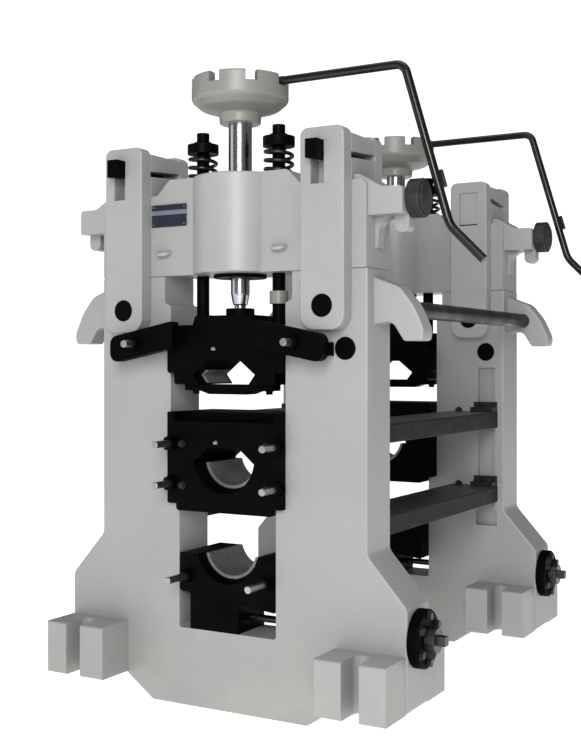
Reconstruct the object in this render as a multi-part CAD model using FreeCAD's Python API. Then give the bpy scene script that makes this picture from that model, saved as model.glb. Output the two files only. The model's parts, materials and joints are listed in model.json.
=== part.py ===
import FreeCAD, Part
import math
import os

# Three-high rolling mill stand: two cast housings side by side, each with a keyed-on cap, a hand
# screw-down for its top chock and a wedge under its bottom chock. All sizes are in millimetres.
#
# Frame: +Z up, +X across the mill (the way the bar being rolled travels), +Y from the near housing
# to the far one, along the rolls. The origin is on the floor under the near screw's axis, in the
# middle plane of the near housing. Each side is built at the near place, with -Y as its outer
# face, and the far side is the near one mirrored in Y.

V = FreeCAD.Vector
ALONG_X = V(1, 0, 0)
ALONG_Y = V(0, 1, 0)
ALONG_Z = V(0, 0, 1)

# ---- driving dimensions ------------------------------------------------------------------------

STAND_PITCH = 1480.0        # between the middle planes of the two housings
ROLL_PITCH = 350.0          # between roll axes, which is the size class of the mill
NECK_RADIUS = 110.0         # roll neck that a bearing liner takes
LINER_WALL = 12.0

# Housing casting
HOUSING_DEPTH = 200.0       # along Y
WINDOW_WIDTH = 440.0
WINDOW_MOUTH_WIDEN = 70.0   # each side, where the window opens out under the cap
COLUMN_WIDTH = 380.0
SILL_TOP = 305.0            # floor of the window
LEDGE_Z = 795.0             # where the window widens, and the middle chock rests
LEDGE_WIDTH = 42.0
AXIS_OVER_SILL = 325.0      # bottom roll axis above the sill
COLUMN_OVER_AXIS = 360.0    # column top above the top roll axis
MOUTH_DEPTH = 119.0         # height of the widened mouth
BASE_FLARE = 155.0          # how far the base stands out past the column
SHOULDER_LOW = 475.0
SHOULDER_HIGH = 650.0
FOOT_UNDERSIDE = 100.0
BELLY_HALF = 350.0          # half width of the sole that stands on the floor
BELLY_SPLAY = 135.0         # the belly's slanted side, measured along X
CASTING_EDGE = 8.0          # rounding of the casting's long edges
CASTING_CORNER = 40.0

# Feet
FOOT_REACH = 172.0          # out of the housing's face
FOOT_WIDTH = 280.0
FOOT_INSET = 5.0            # foot's outer side, in from the base's side
FOOT_HEIGHT = 205.0
FOOT_SLOT_WIDTH = 70.0
FOOT_SLOT_DEPTH = 125.0     # slot, in from the foot's front
FOOT_SLOT_FROM_OUTER = 135.0

# Crane horns on the columns' outer sides
HORN_THICKNESS = 90.0
HORN_TOP_BELOW_COLUMN_TOP = 30.0
HORN_REACH = 196.0
HORN_DROP = 236.0
HORN_FINGER = 76.0

# Grooves for the rest bars' brackets, in the columns' inner faces
GROOVE_WIDTH = 82.0
GROOVE_DEPTH = 22.0
GROOVE_FROM_WINDOW = 253.0  # groove's near side, from the window's side
GROOVE_OVER_BOTTOM_AXIS = 15.0
GROOVE_TOP_UNDER_TOP_AXIS = 7.0
POCKET_WIDTH = 104.0
POCKET_HEIGHT = 70.0

# Cap, its screw boss and its side arms
CAP_HEIGHT = 380.0
CAP_END_DROP = 60.0         # the cap's ends under the straps are this much lower than its middle
BOSS_RADIUS = 185.0
ARM_TOP = 288.0             # arm's top above the column top
ARM_THICKNESS = 99.0
ARM_REACH = 130.0           # past the column's outer side
ARM_DEPTH = 170.0           # along Y
RIB_DEPTH = 50.0            # gusset and hanging lug under the arm, along Y
RIB_DROP = 114.0
LUG_WIDTH = 54.0
LUG_DROP = 62.0

# Straps that pull the cap down, their pins, cotters and gibs
STRAP_WIDTH = 179.0
STRAP_THICKNESS = 64.0
STRAP_FROM_WINDOW = 138.0   # strap's near edge, from the window's side
STRAP_BELOW_COLUMN_TOP = 225.0
STRAP_ABOVE_COLUMN_TOP = 510.0
STRAP_FOOT_CORNER = 55.0
STRAP_HEAD_CORNER = 30.0
PIN_RADIUS = 42.0
PIN_BELOW_COLUMN_TOP = 137.0
PIN_PROUD = 4.0
PLUG_BELOW_COLUMN_TOP = 292.0
PLUG_FROM_WINDOW = 291.0
PLUG_LENGTH = 40.0
SLOT_WIDTH = 90.0
SLOT_HEIGHT = 155.0
SLOT_ABOVE_COLUMN_TOP = 305.0
COTTER_WIDTH = 50.0
COTTER_TALL = 70.0          # height at its head
COTTER_SHORT = 45.0         # height at its tail
COTTER_HEAD_PROUD = 52.0
COTTER_TAIL_INSIDE = 8.0     # the cotter ends this far inside the housing's inner face
GIB_GAP = 22.0              # open joint between the lower and the upper gib
UPPER_GIB_HEIGHT = 52.0
BORE_PLAY = 0.3             # radial play of pins, plugs, studs and shafts in their bores

# Screw-down
SCREW_RADIUS = 46.0
SCREW_NUT_WALL = 36.0
SCREW_TIP_RADIUS = 37.0
SCREW_TIP_LENGTH = 110.0
SCREW_NECK_RADIUS = 22.0
SHAFT_TOP_ABOVE_CAP = 352.0
BREAKER_RADIUS = 56.0
BREAKER_HEIGHT = 30.0
WHEEL_RADIUS = 190.0
WHEEL_ABOVE_CAP = 210.0     # underside of the wheel's hub above the cap
WHEEL_HUB_RADIUS = 80.0
WHEEL_HEIGHT = 175.0
WHEEL_RIM_HEIGHT = 118.0
WHEEL_RIM_WALL = 42.0
NOTCH_COUNT = 8
NOTCH_WIDTH = 46.0
NOTCH_PLAY = 0.3            # under the crank bar, which lies in one notch
CRANK_RADIUS = 16.0
CRANK_ABOVE_HUB = 150.0     # crank bar's level above the wheel hub's underside
CRANK_REACH = 700.0
CRANK_BEND = 45.0
CRANK_SLOPE_END = (876.0, 596.0)    # out from the screw, and down from the crank bar's level
CRANK_TIP = (1004.0, 724.0)
CRANK_ELBOW = 110.0

# Balance rods and springs over the cap
ROD_OFFSET = 175.0
ROD_RADIUS = 25.0
ROD_PLAY = 2.0
ROD_ABOVE_CAP = 191.0
SPRING_HEIGHT = 107.0
SPRING_RADIUS = 60.0
SPRING_WIRE = 15.0
SPRING_PITCH = 38.0
CUP_HEIGHT = 38.0
CUP_RADIUS = 62.0
ROD_NUT_RADIUS = 38.0
ROD_NUT_HEIGHT = 10.0

# Chocks
CHOCK_PLAY = 1.0            # running gap between a sliding chock and the housing
CHOCK_PROUD = 25.0          # chock's outer face, past the housing's
TOP_CHOCK_BELOW_AXIS = 68.0
TOP_CHOCK_ABOVE_AXIS = 198.0
TOP_CHOCK_SHOULDER = 35.0
TOP_CHOCK_CROWN_HALF = 150.0
TOP_CHOCK_LEG_HALF = 228.0
TOP_GUIDE_BELOW_AXIS = 24.0     # the part that fills the window
TOP_GUIDE_ABOVE_AXIS = 85.0
TOP_CHOCK_NECK_HALF = 219.0
TOP_LINER_ABOVE_AXIS = -12.0
TOP_MOUTH_HALF = 142.0      # widest half width of the top chock's neck opening
TOP_MOUTH_BELOW_AXIS = 30.0
ROOF_HALF = 73.0            # half width of the flat roof over a neck opening
TOP_ROOF_ABOVE_AXIS = 26.0
KEEPER_DEPTH = 70.0         # along Y
KEEPER_OFFSET = -60.0       # its middle, from the housing's middle plane
KEEPER_DROP = 38.0
KEEPER_THICKNESS = 24.0
MID_CHOCK_BELOW_AXIS = 212.0
MID_CHOCK_ABOVE_AXIS = 174.0
MID_STEP_ABOVE_AXIS = 138.0 # the step between the rider's ears
MID_STEP_DEPTH = 65.0
MID_STEP_HALF = 226.0
PARTING_BELOW_AXIS = 25.0   # joint between the middle chock and the rider over it
MID_ROOF_ABOVE_AXIS = 37.0
LINER_START = 38.0          # liner's outer end, in from the housing's outer face
CHOCK_INNER_REACH = 87.0    # lower chocks, past the housing's inner face
COUNTERBORE_WALL = 16.0     # how much wider a chock's mouth is than its liner seat
BOTTOM_CHOCK_TOP_BELOW_AXIS = 30.0

# Wedge under the bottom chock, and its screw
WEDGE_LENGTH = 222.0
WEDGE_START = -170.0
WEDGE_RISE = 1.0 / 9.0      # the wedge thickens towards -X
WEDGE_HEIGHT_AT_SCREW = 121.0   # wedge top over the sill, at the screw-down's axis
WEDGE_SIDE_PLAY = 2.0
WEDGE_PLAY = 0.5            # running gap under and over the wedge
WEDGE_SCREW_RADIUS = 14.0
WEDGE_SCREW_ABOVE_SILL = 50.0
WEDGE_BORE_PLAY = 3.0
WEDGE_BORE_DEPTH = 190.0
WEDGE_SCREW_START = 150.0   # thread's inner end, in from the wedge's face
FLANGE_RADIUS = 107.0
FLANGE_PLATE = 40.0
COLLAR_RADIUS = 45.0
COLLAR_LENGTH = 38.0
SQUARE_SIDE = 34.0
SQUARE_LENGTH = 32.0

# Chock clamps
CLAMP_INNER = 178.0
CLAMP_OUTER = 478.0
CLAMP_HEIGHT = 104.0
CLAMP_THICKNESS = 44.0
CLAMP_DROOP = 60.0          # outer end lower than the inner end
CLAMP_INNER_ABOVE_AXIS = 125.0
CLAMP_HEEL = 55.0
STUD_RADIUS = 16.0
CLAMP_STUD_AT = 355.0
STUD_DEPTH = 60.0           # in the casting
CLAMP_STUD_OUT = 75.0       # past the clamp's face
CHOCK_STUD_AT = 240.0
CHOCK_STUD_OUT = 140.0      # past the column's face
CHOCK_STUD_HEIGHTS = (50.0, -107.0)     # above the middle axis
NUT_RADIUS = 29.0
NUT_HEIGHT = 24.0

# Rest bars between the housings
REST_BAR_WIDTH = 232.0
REST_BAR_THICKNESS = 75.0
REST_BAR_FROM_WINDOW = 118.0
REST_BAR_OVER_AXIS = 135.0  # bar's top above the roll axis beside it
SPREADER_RADIUS = 32.0
SPREADER_OUT = 75.0         # spreader's axis, past the column's outer side
SPREADER_BELOW_COLUMN_TOP = 146.0
BRACKET_WIDTH = 110.0
BRACKET_REACH = 70.0
BRACKET_RISE = 46.0
BRACKET_THICKNESS = 22.0

# Small pieces
NAME_PLATE = (165.0, 6.0, 87.0)
NAME_PLATE_AT = (-350.0, 195.0)     # left edge, and underside above the column top
DRUM_RADIUS = 67.0
DRUM_LENGTH = 52.0
DRUM_ABOVE_ARM = 10.0       # drum's axis above the arm's middle

# ---- places worked out from the driving dimensions ------------------------------------------------

FACE = HOUSING_DEPTH / 2
WINDOW_HALF = WINDOW_WIDTH / 2
UPPER_HALF = WINDOW_HALF + LEDGE_WIDTH
MOUTH_HALF = WINDOW_HALF + WINDOW_MOUTH_WIDEN
COLUMN_OUTER = WINDOW_HALF + COLUMN_WIDTH
BASE_OUTER = COLUMN_OUTER + BASE_FLARE
BOTTOM_AXIS = SILL_TOP + AXIS_OVER_SILL
MIDDLE_AXIS = BOTTOM_AXIS + ROLL_PITCH
TOP_AXIS = MIDDLE_AXIS + ROLL_PITCH
COLUMN_TOP = TOP_AXIS + COLUMN_OVER_AXIS
MOUTH_BOTTOM = COLUMN_TOP - MOUTH_DEPTH
CAP_TOP = COLUMN_TOP + CAP_HEIGHT
CAP_END_TOP = CAP_TOP - CAP_END_DROP
STRAP_INNER = WINDOW_HALF + STRAP_FROM_WINDOW
STRAP_OUTER = STRAP_INNER + STRAP_WIDTH
STRAP_MIDDLE = (STRAP_INNER + STRAP_OUTER) / 2
STRAP_FACE = FACE + STRAP_THICKNESS
SLOT_BOTTOM = COLUMN_TOP + SLOT_ABOVE_COLUMN_TOP
SLOT_TOP = SLOT_BOTTOM + SLOT_HEIGHT
CHOCK_HALF = WINDOW_HALF - CHOCK_PLAY
WIDE_CHOCK_HALF = UPPER_HALF - CHOCK_PLAY
LINER_SEAT = NECK_RADIUS + LINER_WALL
WEDGE_END = WEDGE_START + WEDGE_LENGTH
WEDGE_SCREW_Z = SILL_TOP + WEDGE_SCREW_ABOVE_SILL
HUB_UNDERSIDE = CAP_TOP + WHEEL_ABOVE_CAP
CRANK_Z = HUB_UNDERSIDE + CRANK_ABOVE_HUB


# ---- helpers ---------------------------------------------------------------------------------------

def box(x_low, x_high, y_low, y_high, z_low, z_high):
    return Part.makeBox(x_high - x_low, y_high - y_low, z_high - z_low, V(x_low, y_low, z_low))


def cylinder(base, along, radius, length):
    return Part.makeCylinder(radius, length, base, along)


def tube(base, along, outer, inner, length):
    return cylinder(base, along, outer, length).cut(cylinder(base, along, inner, length))


def outline(corners, y):
    """A closed wire in the plane Y = y. A corner is (x, z), or (x, z, radius) where it is rounded."""
    points = [V(corner[0], y, corner[1]) for corner in corners]
    edges = []
    ends = []
    for i, corner in enumerate(corners):
        here = points[i]
        if len(corner) == 2:
            ends.append((here, here))
            continue
        back = points[i - 1].sub(here).normalize()
        ahead = points[(i + 1) % len(points)].sub(here).normalize()
        half_angle = back.getAngle(ahead) / 2
        reach = corner[2] / math.tan(half_angle)
        bisector = back.add(ahead).normalize()
        centre = here.add(V(bisector).multiply(corner[2] / math.sin(half_angle)))
        middle = centre.sub(V(bisector).multiply(corner[2]))
        start = here.add(V(back).multiply(reach))
        stop = here.add(V(ahead).multiply(reach))
        edges.append(Part.Arc(start, middle, stop).toShape())
        ends.append((start, stop))
    for i in range(len(ends)):
        leaving = ends[i][1]
        arriving = ends[(i + 1) % len(ends)][0]
        if leaving.distanceToPoint(arriving) > 1e-6:
            edges.append(Part.makeLine(leaving, arriving))
    return Part.Wire(Part.__sortEdges__(edges))


def plate(corners, y_low, y_high):
    """The outline pushed along Y into a solid."""
    return Part.Face(outline(corners, y_low)).extrude(V(0, y_high - y_low, 0))


def symmetric(right_half):
    """A whole outline from its +X half, given from the bottom to the top."""
    left_half = [(-corner[0],) + tuple(corner[1:]) for corner in reversed(right_half)]
    return list(right_half) + left_half


def ease_faces(shape, y_low, y_high, radius):
    """Rounds the edges that lie wholly in the two end planes of a plate."""
    edges = []
    for edge in shape.Edges:
        limits = edge.BoundBox
        for y in (y_low, y_high):
            if abs(limits.YMin - y) < 1e-3 and abs(limits.YMax - y) < 1e-3:
                edges.append(edge)
    return shape.makeFillet(radius, edges)


def flipped_x(shape):
    return shape.mirror(V(0, 0, 0), ALONG_X)


def left_and_right(shape):
    return [shape, flipped_x(shape)]


def at_far_side(shape):
    """The near side's piece, mirrored and carried over to the far housing."""
    moved = shape.mirror(V(0, 0, 0), ALONG_Y)
    moved.translate(V(0, STAND_PITCH, 0))
    return moved


def near_and_far(shapes):
    return shapes + [at_far_side(shape) for shape in shapes]


def hexagon(centre, along, radius, height):
    """A hexagonal nut, radius across its corners."""
    side = V(0, 0, 1) if abs(along.z) < 0.5 else V(1, 0, 0)
    corners = []
    for i in range(7):
        turn = FreeCAD.Rotation(along, 60 * i)
        corners.append(centre.add(turn.multVec(V(side).multiply(radius))))
    return Part.Face(Part.makePolygon(corners)).extrude(V(along).multiply(height))


def save(name, shapes):
    """Writes one node, made of one or more solids."""
    shape = shapes[0] if len(shapes) == 1 else Part.makeCompound(shapes)
    shape.exportStep(os.path.join("parts", name + ".step"))
    return len(shape.Solids)


# ---- housing ---------------------------------------------------------------------------------------

def foot():
    """The +X outer foot: a forked block with an open bolt slot."""
    outer = BASE_OUTER - FOOT_INSET
    slot_middle = outer - FOOT_SLOT_FROM_OUTER
    tip = -FACE - FOOT_REACH
    top = FOOT_UNDERSIDE + FOOT_HEIGHT
    block = box(outer - FOOT_WIDTH, outer, tip, -FACE, FOOT_UNDERSIDE, top)
    front = [edge for edge in block.Edges if edge.BoundBox.YMax < tip + 1e-3]
    block = block.makeFillet(CASTING_EDGE, front)
    slot_end = tip + FOOT_SLOT_DEPTH
    half = FOOT_SLOT_WIDTH / 2
    slot = box(slot_middle - half, slot_middle + half, tip - 1, slot_end - half, FOOT_UNDERSIDE - 1, top + 1)
    slot = slot.fuse(cylinder(V(slot_middle, slot_end - half, FOOT_UNDERSIDE - 1), ALONG_Z, half, FOOT_HEIGHT + 2))
    return block.cut(slot)


def crane_horn():
    """A hook cast on the +X side of the column, for slinging the housing."""
    top = COLUMN_TOP - HORN_TOP_BELOW_COLUMN_TOP
    tip_z = top - HORN_DROP
    tip_x = COLUMN_OUTER + HORN_REACH
    root = COLUMN_OUTER - 5
    corners = [
        (root, top - 176),
        (COLUMN_OUTER + 10, top - 172, 8),
        (COLUMN_OUTER + 70, top - 165, 40),
        (tip_x - HORN_FINGER - 4, tip_z, 14),
        (tip_x - 8, tip_z, 14),
        (tip_x, tip_z + 40, 60),
        (tip_x - 42, top - 106, 150),
        (COLUMN_OUTER + 100, top - 40, 60),
        (root, top),
    ]
    horn = plate(corners, -HORN_THICKNESS / 2, HORN_THICKNESS / 2)
    return ease_faces(horn, -HORN_THICKNESS / 2, HORN_THICKNESS / 2, CASTING_EDGE)


def bracket_groove():
    """The upright groove and its entry pocket, in the inner face of the +X column."""
    inner = WINDOW_HALF + GROOVE_FROM_WINDOW
    low = BOTTOM_AXIS + GROOVE_OVER_BOTTOM_AXIS
    high = TOP_AXIS - GROOVE_TOP_UNDER_TOP_AXIS
    groove = box(inner, inner + GROOVE_WIDTH, FACE - GROOVE_DEPTH, FACE + 1, low - 1, high)
    middle = inner + GROOVE_WIDTH / 2
    half = POCKET_WIDTH / 2
    pocket = box(middle - half, middle + half, FACE - GROOVE_DEPTH, FACE + 1, low - POCKET_HEIGHT, low)
    return groove.fuse(pocket)


def housing():
    """One cast housing: two columns, a flared base with its belly, four feet and two horns."""
    profile = symmetric([
        (BELLY_HALF, 0, 12),
        (BELLY_HALF + BELLY_SPLAY, FOOT_UNDERSIDE - 3, 15),
        (BASE_OUTER, FOOT_UNDERSIDE - 3, 20),
        (BASE_OUTER, SHOULDER_LOW, CASTING_CORNER),
        (COLUMN_OUTER, SHOULDER_HIGH, CASTING_CORNER),
        (COLUMN_OUTER, COLUMN_TOP, 6),
    ])
    body = ease_faces(plate(profile, -FACE, FACE), -FACE, FACE, CASTING_EDGE)
    window = symmetric([
        (WINDOW_HALF, SILL_TOP, 12),
        (WINDOW_HALF, LEDGE_Z),
        (UPPER_HALF, LEDGE_Z, 3),
        (UPPER_HALF, MOUTH_BOTTOM, 6),
        (MOUTH_HALF, MOUTH_BOTTOM + 12, 12),
        (MOUTH_HALF, COLUMN_TOP + 10),
    ])
    body = body.cut(plate(window, -FACE - 1, FACE + 1))

    one_foot = foot()
    feet = left_and_right(one_foot)
    feet += [piece.mirror(V(0, 0, 0), ALONG_Y) for piece in feet]
    body = body.fuse(feet + left_and_right(crane_horn()))

    cuts = left_and_right(bracket_groove())
    pin_z = COLUMN_TOP - PIN_BELOW_COLUMN_TOP
    plug_z = COLUMN_TOP - PLUG_BELOW_COLUMN_TOP
    plug_x = WINDOW_HALF + PLUG_FROM_WINDOW
    bore = PIN_RADIUS + BORE_PLAY
    cuts += left_and_right(cylinder(V(STRAP_MIDDLE, -FACE - 1, pin_z), ALONG_Y, bore, HOUSING_DEPTH + 2))
    for face, inward in ((-FACE, 1), (FACE, -1)):
        mouth = V(plug_x, face - inward, plug_z)
        cuts += left_and_right(cylinder(mouth, V(0, inward, 0), bore, PLUG_LENGTH + 1))
    cuts.append(cylinder(V(WINDOW_HALF - 1, 0, WEDGE_SCREW_Z), ALONG_X,
                         WEDGE_SCREW_RADIUS + WEDGE_BORE_PLAY, BASE_OUTER - WINDOW_HALF + 2))
    clamp_stud_z = clamp_middle_z(CLAMP_STUD_AT)
    cuts += left_and_right(cylinder(V(CLAMP_STUD_AT, -FACE - 1, clamp_stud_z), ALONG_Y,
                                    STUD_RADIUS + BORE_PLAY, STUD_DEPTH + 2))
    return body.cut(cuts).removeSplitter()


def housing_pins():
    """The straps' cross pins and the plain plugs below them."""
    pin_z = COLUMN_TOP - PIN_BELOW_COLUMN_TOP
    plug_z = COLUMN_TOP - PLUG_BELOW_COLUMN_TOP
    plug_x = WINDOW_HALF + PLUG_FROM_WINDOW
    end = STRAP_FACE + PIN_PROUD
    pieces = [cylinder(V(STRAP_MIDDLE, -end, pin_z), ALONG_Y, PIN_RADIUS, 2 * end)]
    pieces.append(cylinder(V(plug_x, -FACE - PIN_PROUD, plug_z), ALONG_Y, PIN_RADIUS, PLUG_LENGTH))
    pieces.append(cylinder(V(plug_x, FACE - PLUG_LENGTH + PIN_PROUD, plug_z), ALONG_Y, PIN_RADIUS, PLUG_LENGTH))
    return pieces + [flipped_x(piece) for piece in pieces]


# ---- cap, straps, cotters --------------------------------------------------------------------------

def cap_arm():
    """The +X side arm: a slab with a curved gusset and a small hanging lug under it."""
    top = COLUMN_TOP + ARM_TOP
    underside = top - ARM_THICKNESS
    tip = COLUMN_OUTER + ARM_REACH
    root = COLUMN_OUTER - 60
    slab = plate([
        (root, underside),
        (tip, underside, 8),
        (tip, top, 16),
        (COLUMN_OUTER + 50, top, 40),
        (COLUMN_OUTER - 40, top + 52, 30),
        (root, top + 52),
    ], -ARM_DEPTH / 2, ARM_DEPTH / 2)
    gusset = plate([
        (root, underside - RIB_DROP),
        (COLUMN_OUTER + 6, underside - RIB_DROP),
        (COLUMN_OUTER + 14, underside - 26, 40),
        (COLUMN_OUTER + 66, underside + 5),
        (root, underside + 5),
    ], -RIB_DEPTH / 2, RIB_DEPTH / 2)
    lug = plate([
        (tip - LUG_WIDTH, underside + 5),
        (tip - LUG_WIDTH, underside - LUG_DROP, LUG_WIDTH / 2 - 2),
        (tip, underside - LUG_DROP, LUG_WIDTH / 2 - 2),
        (tip, underside + 5),
    ], -RIB_DEPTH / 2, RIB_DEPTH / 2)
    return slab.fuse([gusset, lug])


def cap():
    """The beam across the columns' tops, with its screw boss and side arms."""
    beam = plate(symmetric([
        (COLUMN_OUTER - 4, COLUMN_TOP, 6),
        (COLUMN_OUTER - 4, CAP_END_TOP, 30),
        (STRAP_INNER - 30, CAP_END_TOP, 25),
        (STRAP_INNER - 90, CAP_TOP, 25),
    ]), -FACE, FACE)
    boss = cylinder(V(0, 0, COLUMN_TOP), ALONG_Z, BOSS_RADIUS, CAP_HEIGHT)
    rim = [edge for edge in boss.Edges if edge.Length > BOSS_RADIUS * 6]
    boss = boss.makeFillet(CASTING_EDGE, rim)
    body = beam.fuse([boss] + left_and_right(cap_arm()))
    cuts = [
        cylinder(V(0, 0, COLUMN_TOP - 1), ALONG_Z, SCREW_RADIUS + SCREW_NUT_WALL + BORE_PLAY,
                 CAP_HEIGHT + 2),
    ]
    cuts += left_and_right(cylinder(V(ROD_OFFSET, 0, COLUMN_TOP - 1), ALONG_Z, ROD_RADIUS + ROD_PLAY,
                                    CAP_HEIGHT + 2))
    return body.cut(cuts).removeSplitter()


def strap_plate(y_low, y_high):
    """One plate of the +X strap pair, slotted for the cotter and bored for its pin."""
    low = COLUMN_TOP - STRAP_BELOW_COLUMN_TOP
    high = COLUMN_TOP + STRAP_ABOVE_COLUMN_TOP
    body = plate([
        (STRAP_INNER, low, STRAP_FOOT_CORNER),
        (STRAP_OUTER, low, STRAP_FOOT_CORNER),
        (STRAP_OUTER, high, STRAP_HEAD_CORNER),
        (STRAP_INNER, high, STRAP_HEAD_CORNER),
    ], y_low, y_high)
    body = ease_faces(body, y_low, y_high, 5)
    half = SLOT_WIDTH / 2
    slot = box(STRAP_MIDDLE - half, STRAP_MIDDLE + half, y_low - 1, y_high + 1, SLOT_BOTTOM, SLOT_TOP)
    bore = cylinder(V(STRAP_MIDDLE, y_low - 1, COLUMN_TOP - PIN_BELOW_COLUMN_TOP), ALONG_Y,
                    PIN_RADIUS + BORE_PLAY, y_high - y_low + 2)
    return body.cut([slot, bore])


def cap_straps():
    pieces = []
    for y_low, y_high in ((-STRAP_FACE, -FACE), (FACE, STRAP_FACE)):
        pieces += left_and_right(strap_plate(y_low, y_high))
    return pieces


def cotter_underside(y):
    """Height of the cotter's tapered underside at a place along Y."""
    head = -STRAP_FACE - COTTER_HEAD_PROUD
    tail = FACE - COTTER_TAIL_INSIDE
    share = (y - head) / (tail - head)
    return SLOT_TOP - COTTER_TALL + share * (COTTER_TALL - COTTER_SHORT)


def tapered_block(x_low, x_high, y_low, y_high, low, high):
    """A block along Y; low and high each give the height of that face at a place along Y."""
    corners = [V(x_low, y, z(y)) for y, z in ((y_low, low), (y_high, low), (y_high, high), (y_low, high))]
    return Part.Face(Part.makePolygon(corners + corners[:1])).extrude(V(x_high - x_low, 0, 0))


def cotter(middle):
    """The flat tapered key that wedges the straps up against the cap."""
    low_x = middle - SLOT_WIDTH / 2 + 4
    head = -STRAP_FACE - COTTER_HEAD_PROUD
    tail = FACE - COTTER_TAIL_INSIDE
    return tapered_block(low_x, low_x + COTTER_WIDTH, head, tail, cotter_underside, lambda y: SLOT_TOP)


def cap_cotters():
    return [cotter(STRAP_MIDDLE), cotter(-STRAP_MIDDLE)]


def cotter_gibs():
    """The blocks between the straps under and over each cotter, and the gibs that fill its slots."""
    pieces = []
    for middle in (STRAP_MIDDLE, -STRAP_MIDDLE):
        low_x = middle - STRAP_WIDTH / 2
        high_x = middle + STRAP_WIDTH / 2
        cotter_low = middle - SLOT_WIDTH / 2 + 4
        cotter_high = cotter_low + COTTER_WIDTH
        pieces.append(tapered_block(low_x, high_x, -FACE, FACE, lambda y: CAP_END_TOP, cotter_underside))
        upper = tapered_block(low_x, high_x, -FACE, FACE, lambda y: cotter_underside(y) + GIB_GAP,
                              lambda y: SLOT_TOP + UPPER_GIB_HEIGHT - GIB_GAP)
        channel = box(cotter_low - 1, cotter_high + 1, -FACE - 1, FACE + 1, CAP_END_TOP, SLOT_TOP)
        pieces.append(upper.cut(channel))
        slot_low = middle - SLOT_WIDTH / 2
        slot_high = middle + SLOT_WIDTH / 2
        pieces.append(box(cotter_high, slot_high, -STRAP_FACE, -FACE - 0.5, SLOT_BOTTOM, SLOT_TOP))
        pieces.append(box(slot_low, slot_high, FACE + 0.5, STRAP_FACE - 6, SLOT_BOTTOM + 6, SLOT_TOP))
    return pieces


def screw_nut():
    return tube(V(0, 0, COLUMN_TOP), ALONG_Z, SCREW_RADIUS + SCREW_NUT_WALL, SCREW_RADIUS + BORE_PLAY,
                CAP_HEIGHT)


def arm_end_drum():
    axis_z = COLUMN_TOP + ARM_TOP - ARM_THICKNESS / 2 + DRUM_ABOVE_ARM
    return cylinder(V(COLUMN_OUTER + ARM_REACH, 0, axis_z), ALONG_X, DRUM_RADIUS, DRUM_LENGTH)


def name_plate():
    left, underside = NAME_PLATE_AT
    width, thickness, height = NAME_PLATE
    low = COLUMN_TOP + underside
    return box(left, left + width, -FACE - thickness, -FACE, low, low + height)


# ---- screw-down ------------------------------------------------------------------------------------

def screw():
    """The screw: its threaded shaft, the polished tip below it and the neck in the breaker cup."""
    chock_top = TOP_AXIS + TOP_CHOCK_ABOVE_AXIS
    cup_top = chock_top + BREAKER_HEIGHT
    shaft_foot = cup_top + SCREW_TIP_LENGTH + 20
    profile = [
        V(0, 0, chock_top + 10),
        V(SCREW_NECK_RADIUS, 0, chock_top + 10),
        V(SCREW_NECK_RADIUS, 0, cup_top + 12),
        V(SCREW_TIP_RADIUS - 8, 0, cup_top + 16),
        V(SCREW_TIP_RADIUS, 0, cup_top + 60),
        V(SCREW_TIP_RADIUS, 0, shaft_foot),
        V(SCREW_RADIUS, 0, shaft_foot + 12),
        V(SCREW_RADIUS, 0, CAP_TOP + SHAFT_TOP_ABOVE_CAP),
        V(0, 0, CAP_TOP + SHAFT_TOP_ABOVE_CAP),
    ]
    return Part.Face(Part.makePolygon(profile + profile[:1])).revolve(V(0, 0, 0), ALONG_Z, 360)


def breaker_cup():
    """The cup on the chock that takes the screw's neck."""
    base = V(0, 0, TOP_AXIS + TOP_CHOCK_ABOVE_AXIS)
    body = cylinder(base, ALONG_Z, BREAKER_RADIUS, BREAKER_HEIGHT)
    socket = cylinder(base.add(V(0, 0, 10)), ALONG_Z, SCREW_NECK_RADIUS + BORE_PLAY, BREAKER_HEIGHT)
    return body.cut(socket)


def handwheel():
    """The wheel keyed on the screw: hub, dished web and a deep rim with notches in its upper edge."""
    rim_top = HUB_UNDERSIDE + WHEEL_HEIGHT
    rim_low = rim_top - WHEEL_RIM_HEIGHT
    bore = SCREW_RADIUS + BORE_PLAY
    inner = WHEEL_RADIUS - WHEEL_RIM_WALL
    section = Part.Face(outline([
        (bore, HUB_UNDERSIDE),
        (WHEEL_HUB_RADIUS, HUB_UNDERSIDE, 6),
        (WHEEL_HUB_RADIUS + 4, rim_low - 18, 12),
        (WHEEL_RADIUS - 36, rim_low, 40),
        (WHEEL_RADIUS, rim_low + 30, 24),
        (WHEEL_RADIUS, rim_top, 8),
        (inner, rim_top, 8),
        (inner - 4, rim_low + 45, 16),
        (WHEEL_HUB_RADIUS + 6, rim_low + 35, 12),
        (WHEEL_HUB_RADIUS - 4, rim_top - 42, 6),
        (bore, rim_top - 42),
    ], 0))
    wheel = section.revolve(V(0, 0, 0), ALONG_Z, 360)
    cuts = []
    for i in range(NOTCH_COUNT):
        notch = box(inner - 20, WHEEL_RADIUS + 10, -NOTCH_WIDTH / 2, NOTCH_WIDTH / 2,
                    CRANK_Z - CRANK_RADIUS - NOTCH_PLAY, rim_top + 5)
        notch.rotate(V(0, 0, 0), ALONG_Z, 360 / NOTCH_COUNT * i)
        cuts.append(notch)
    return wheel.cut(cuts)


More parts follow.
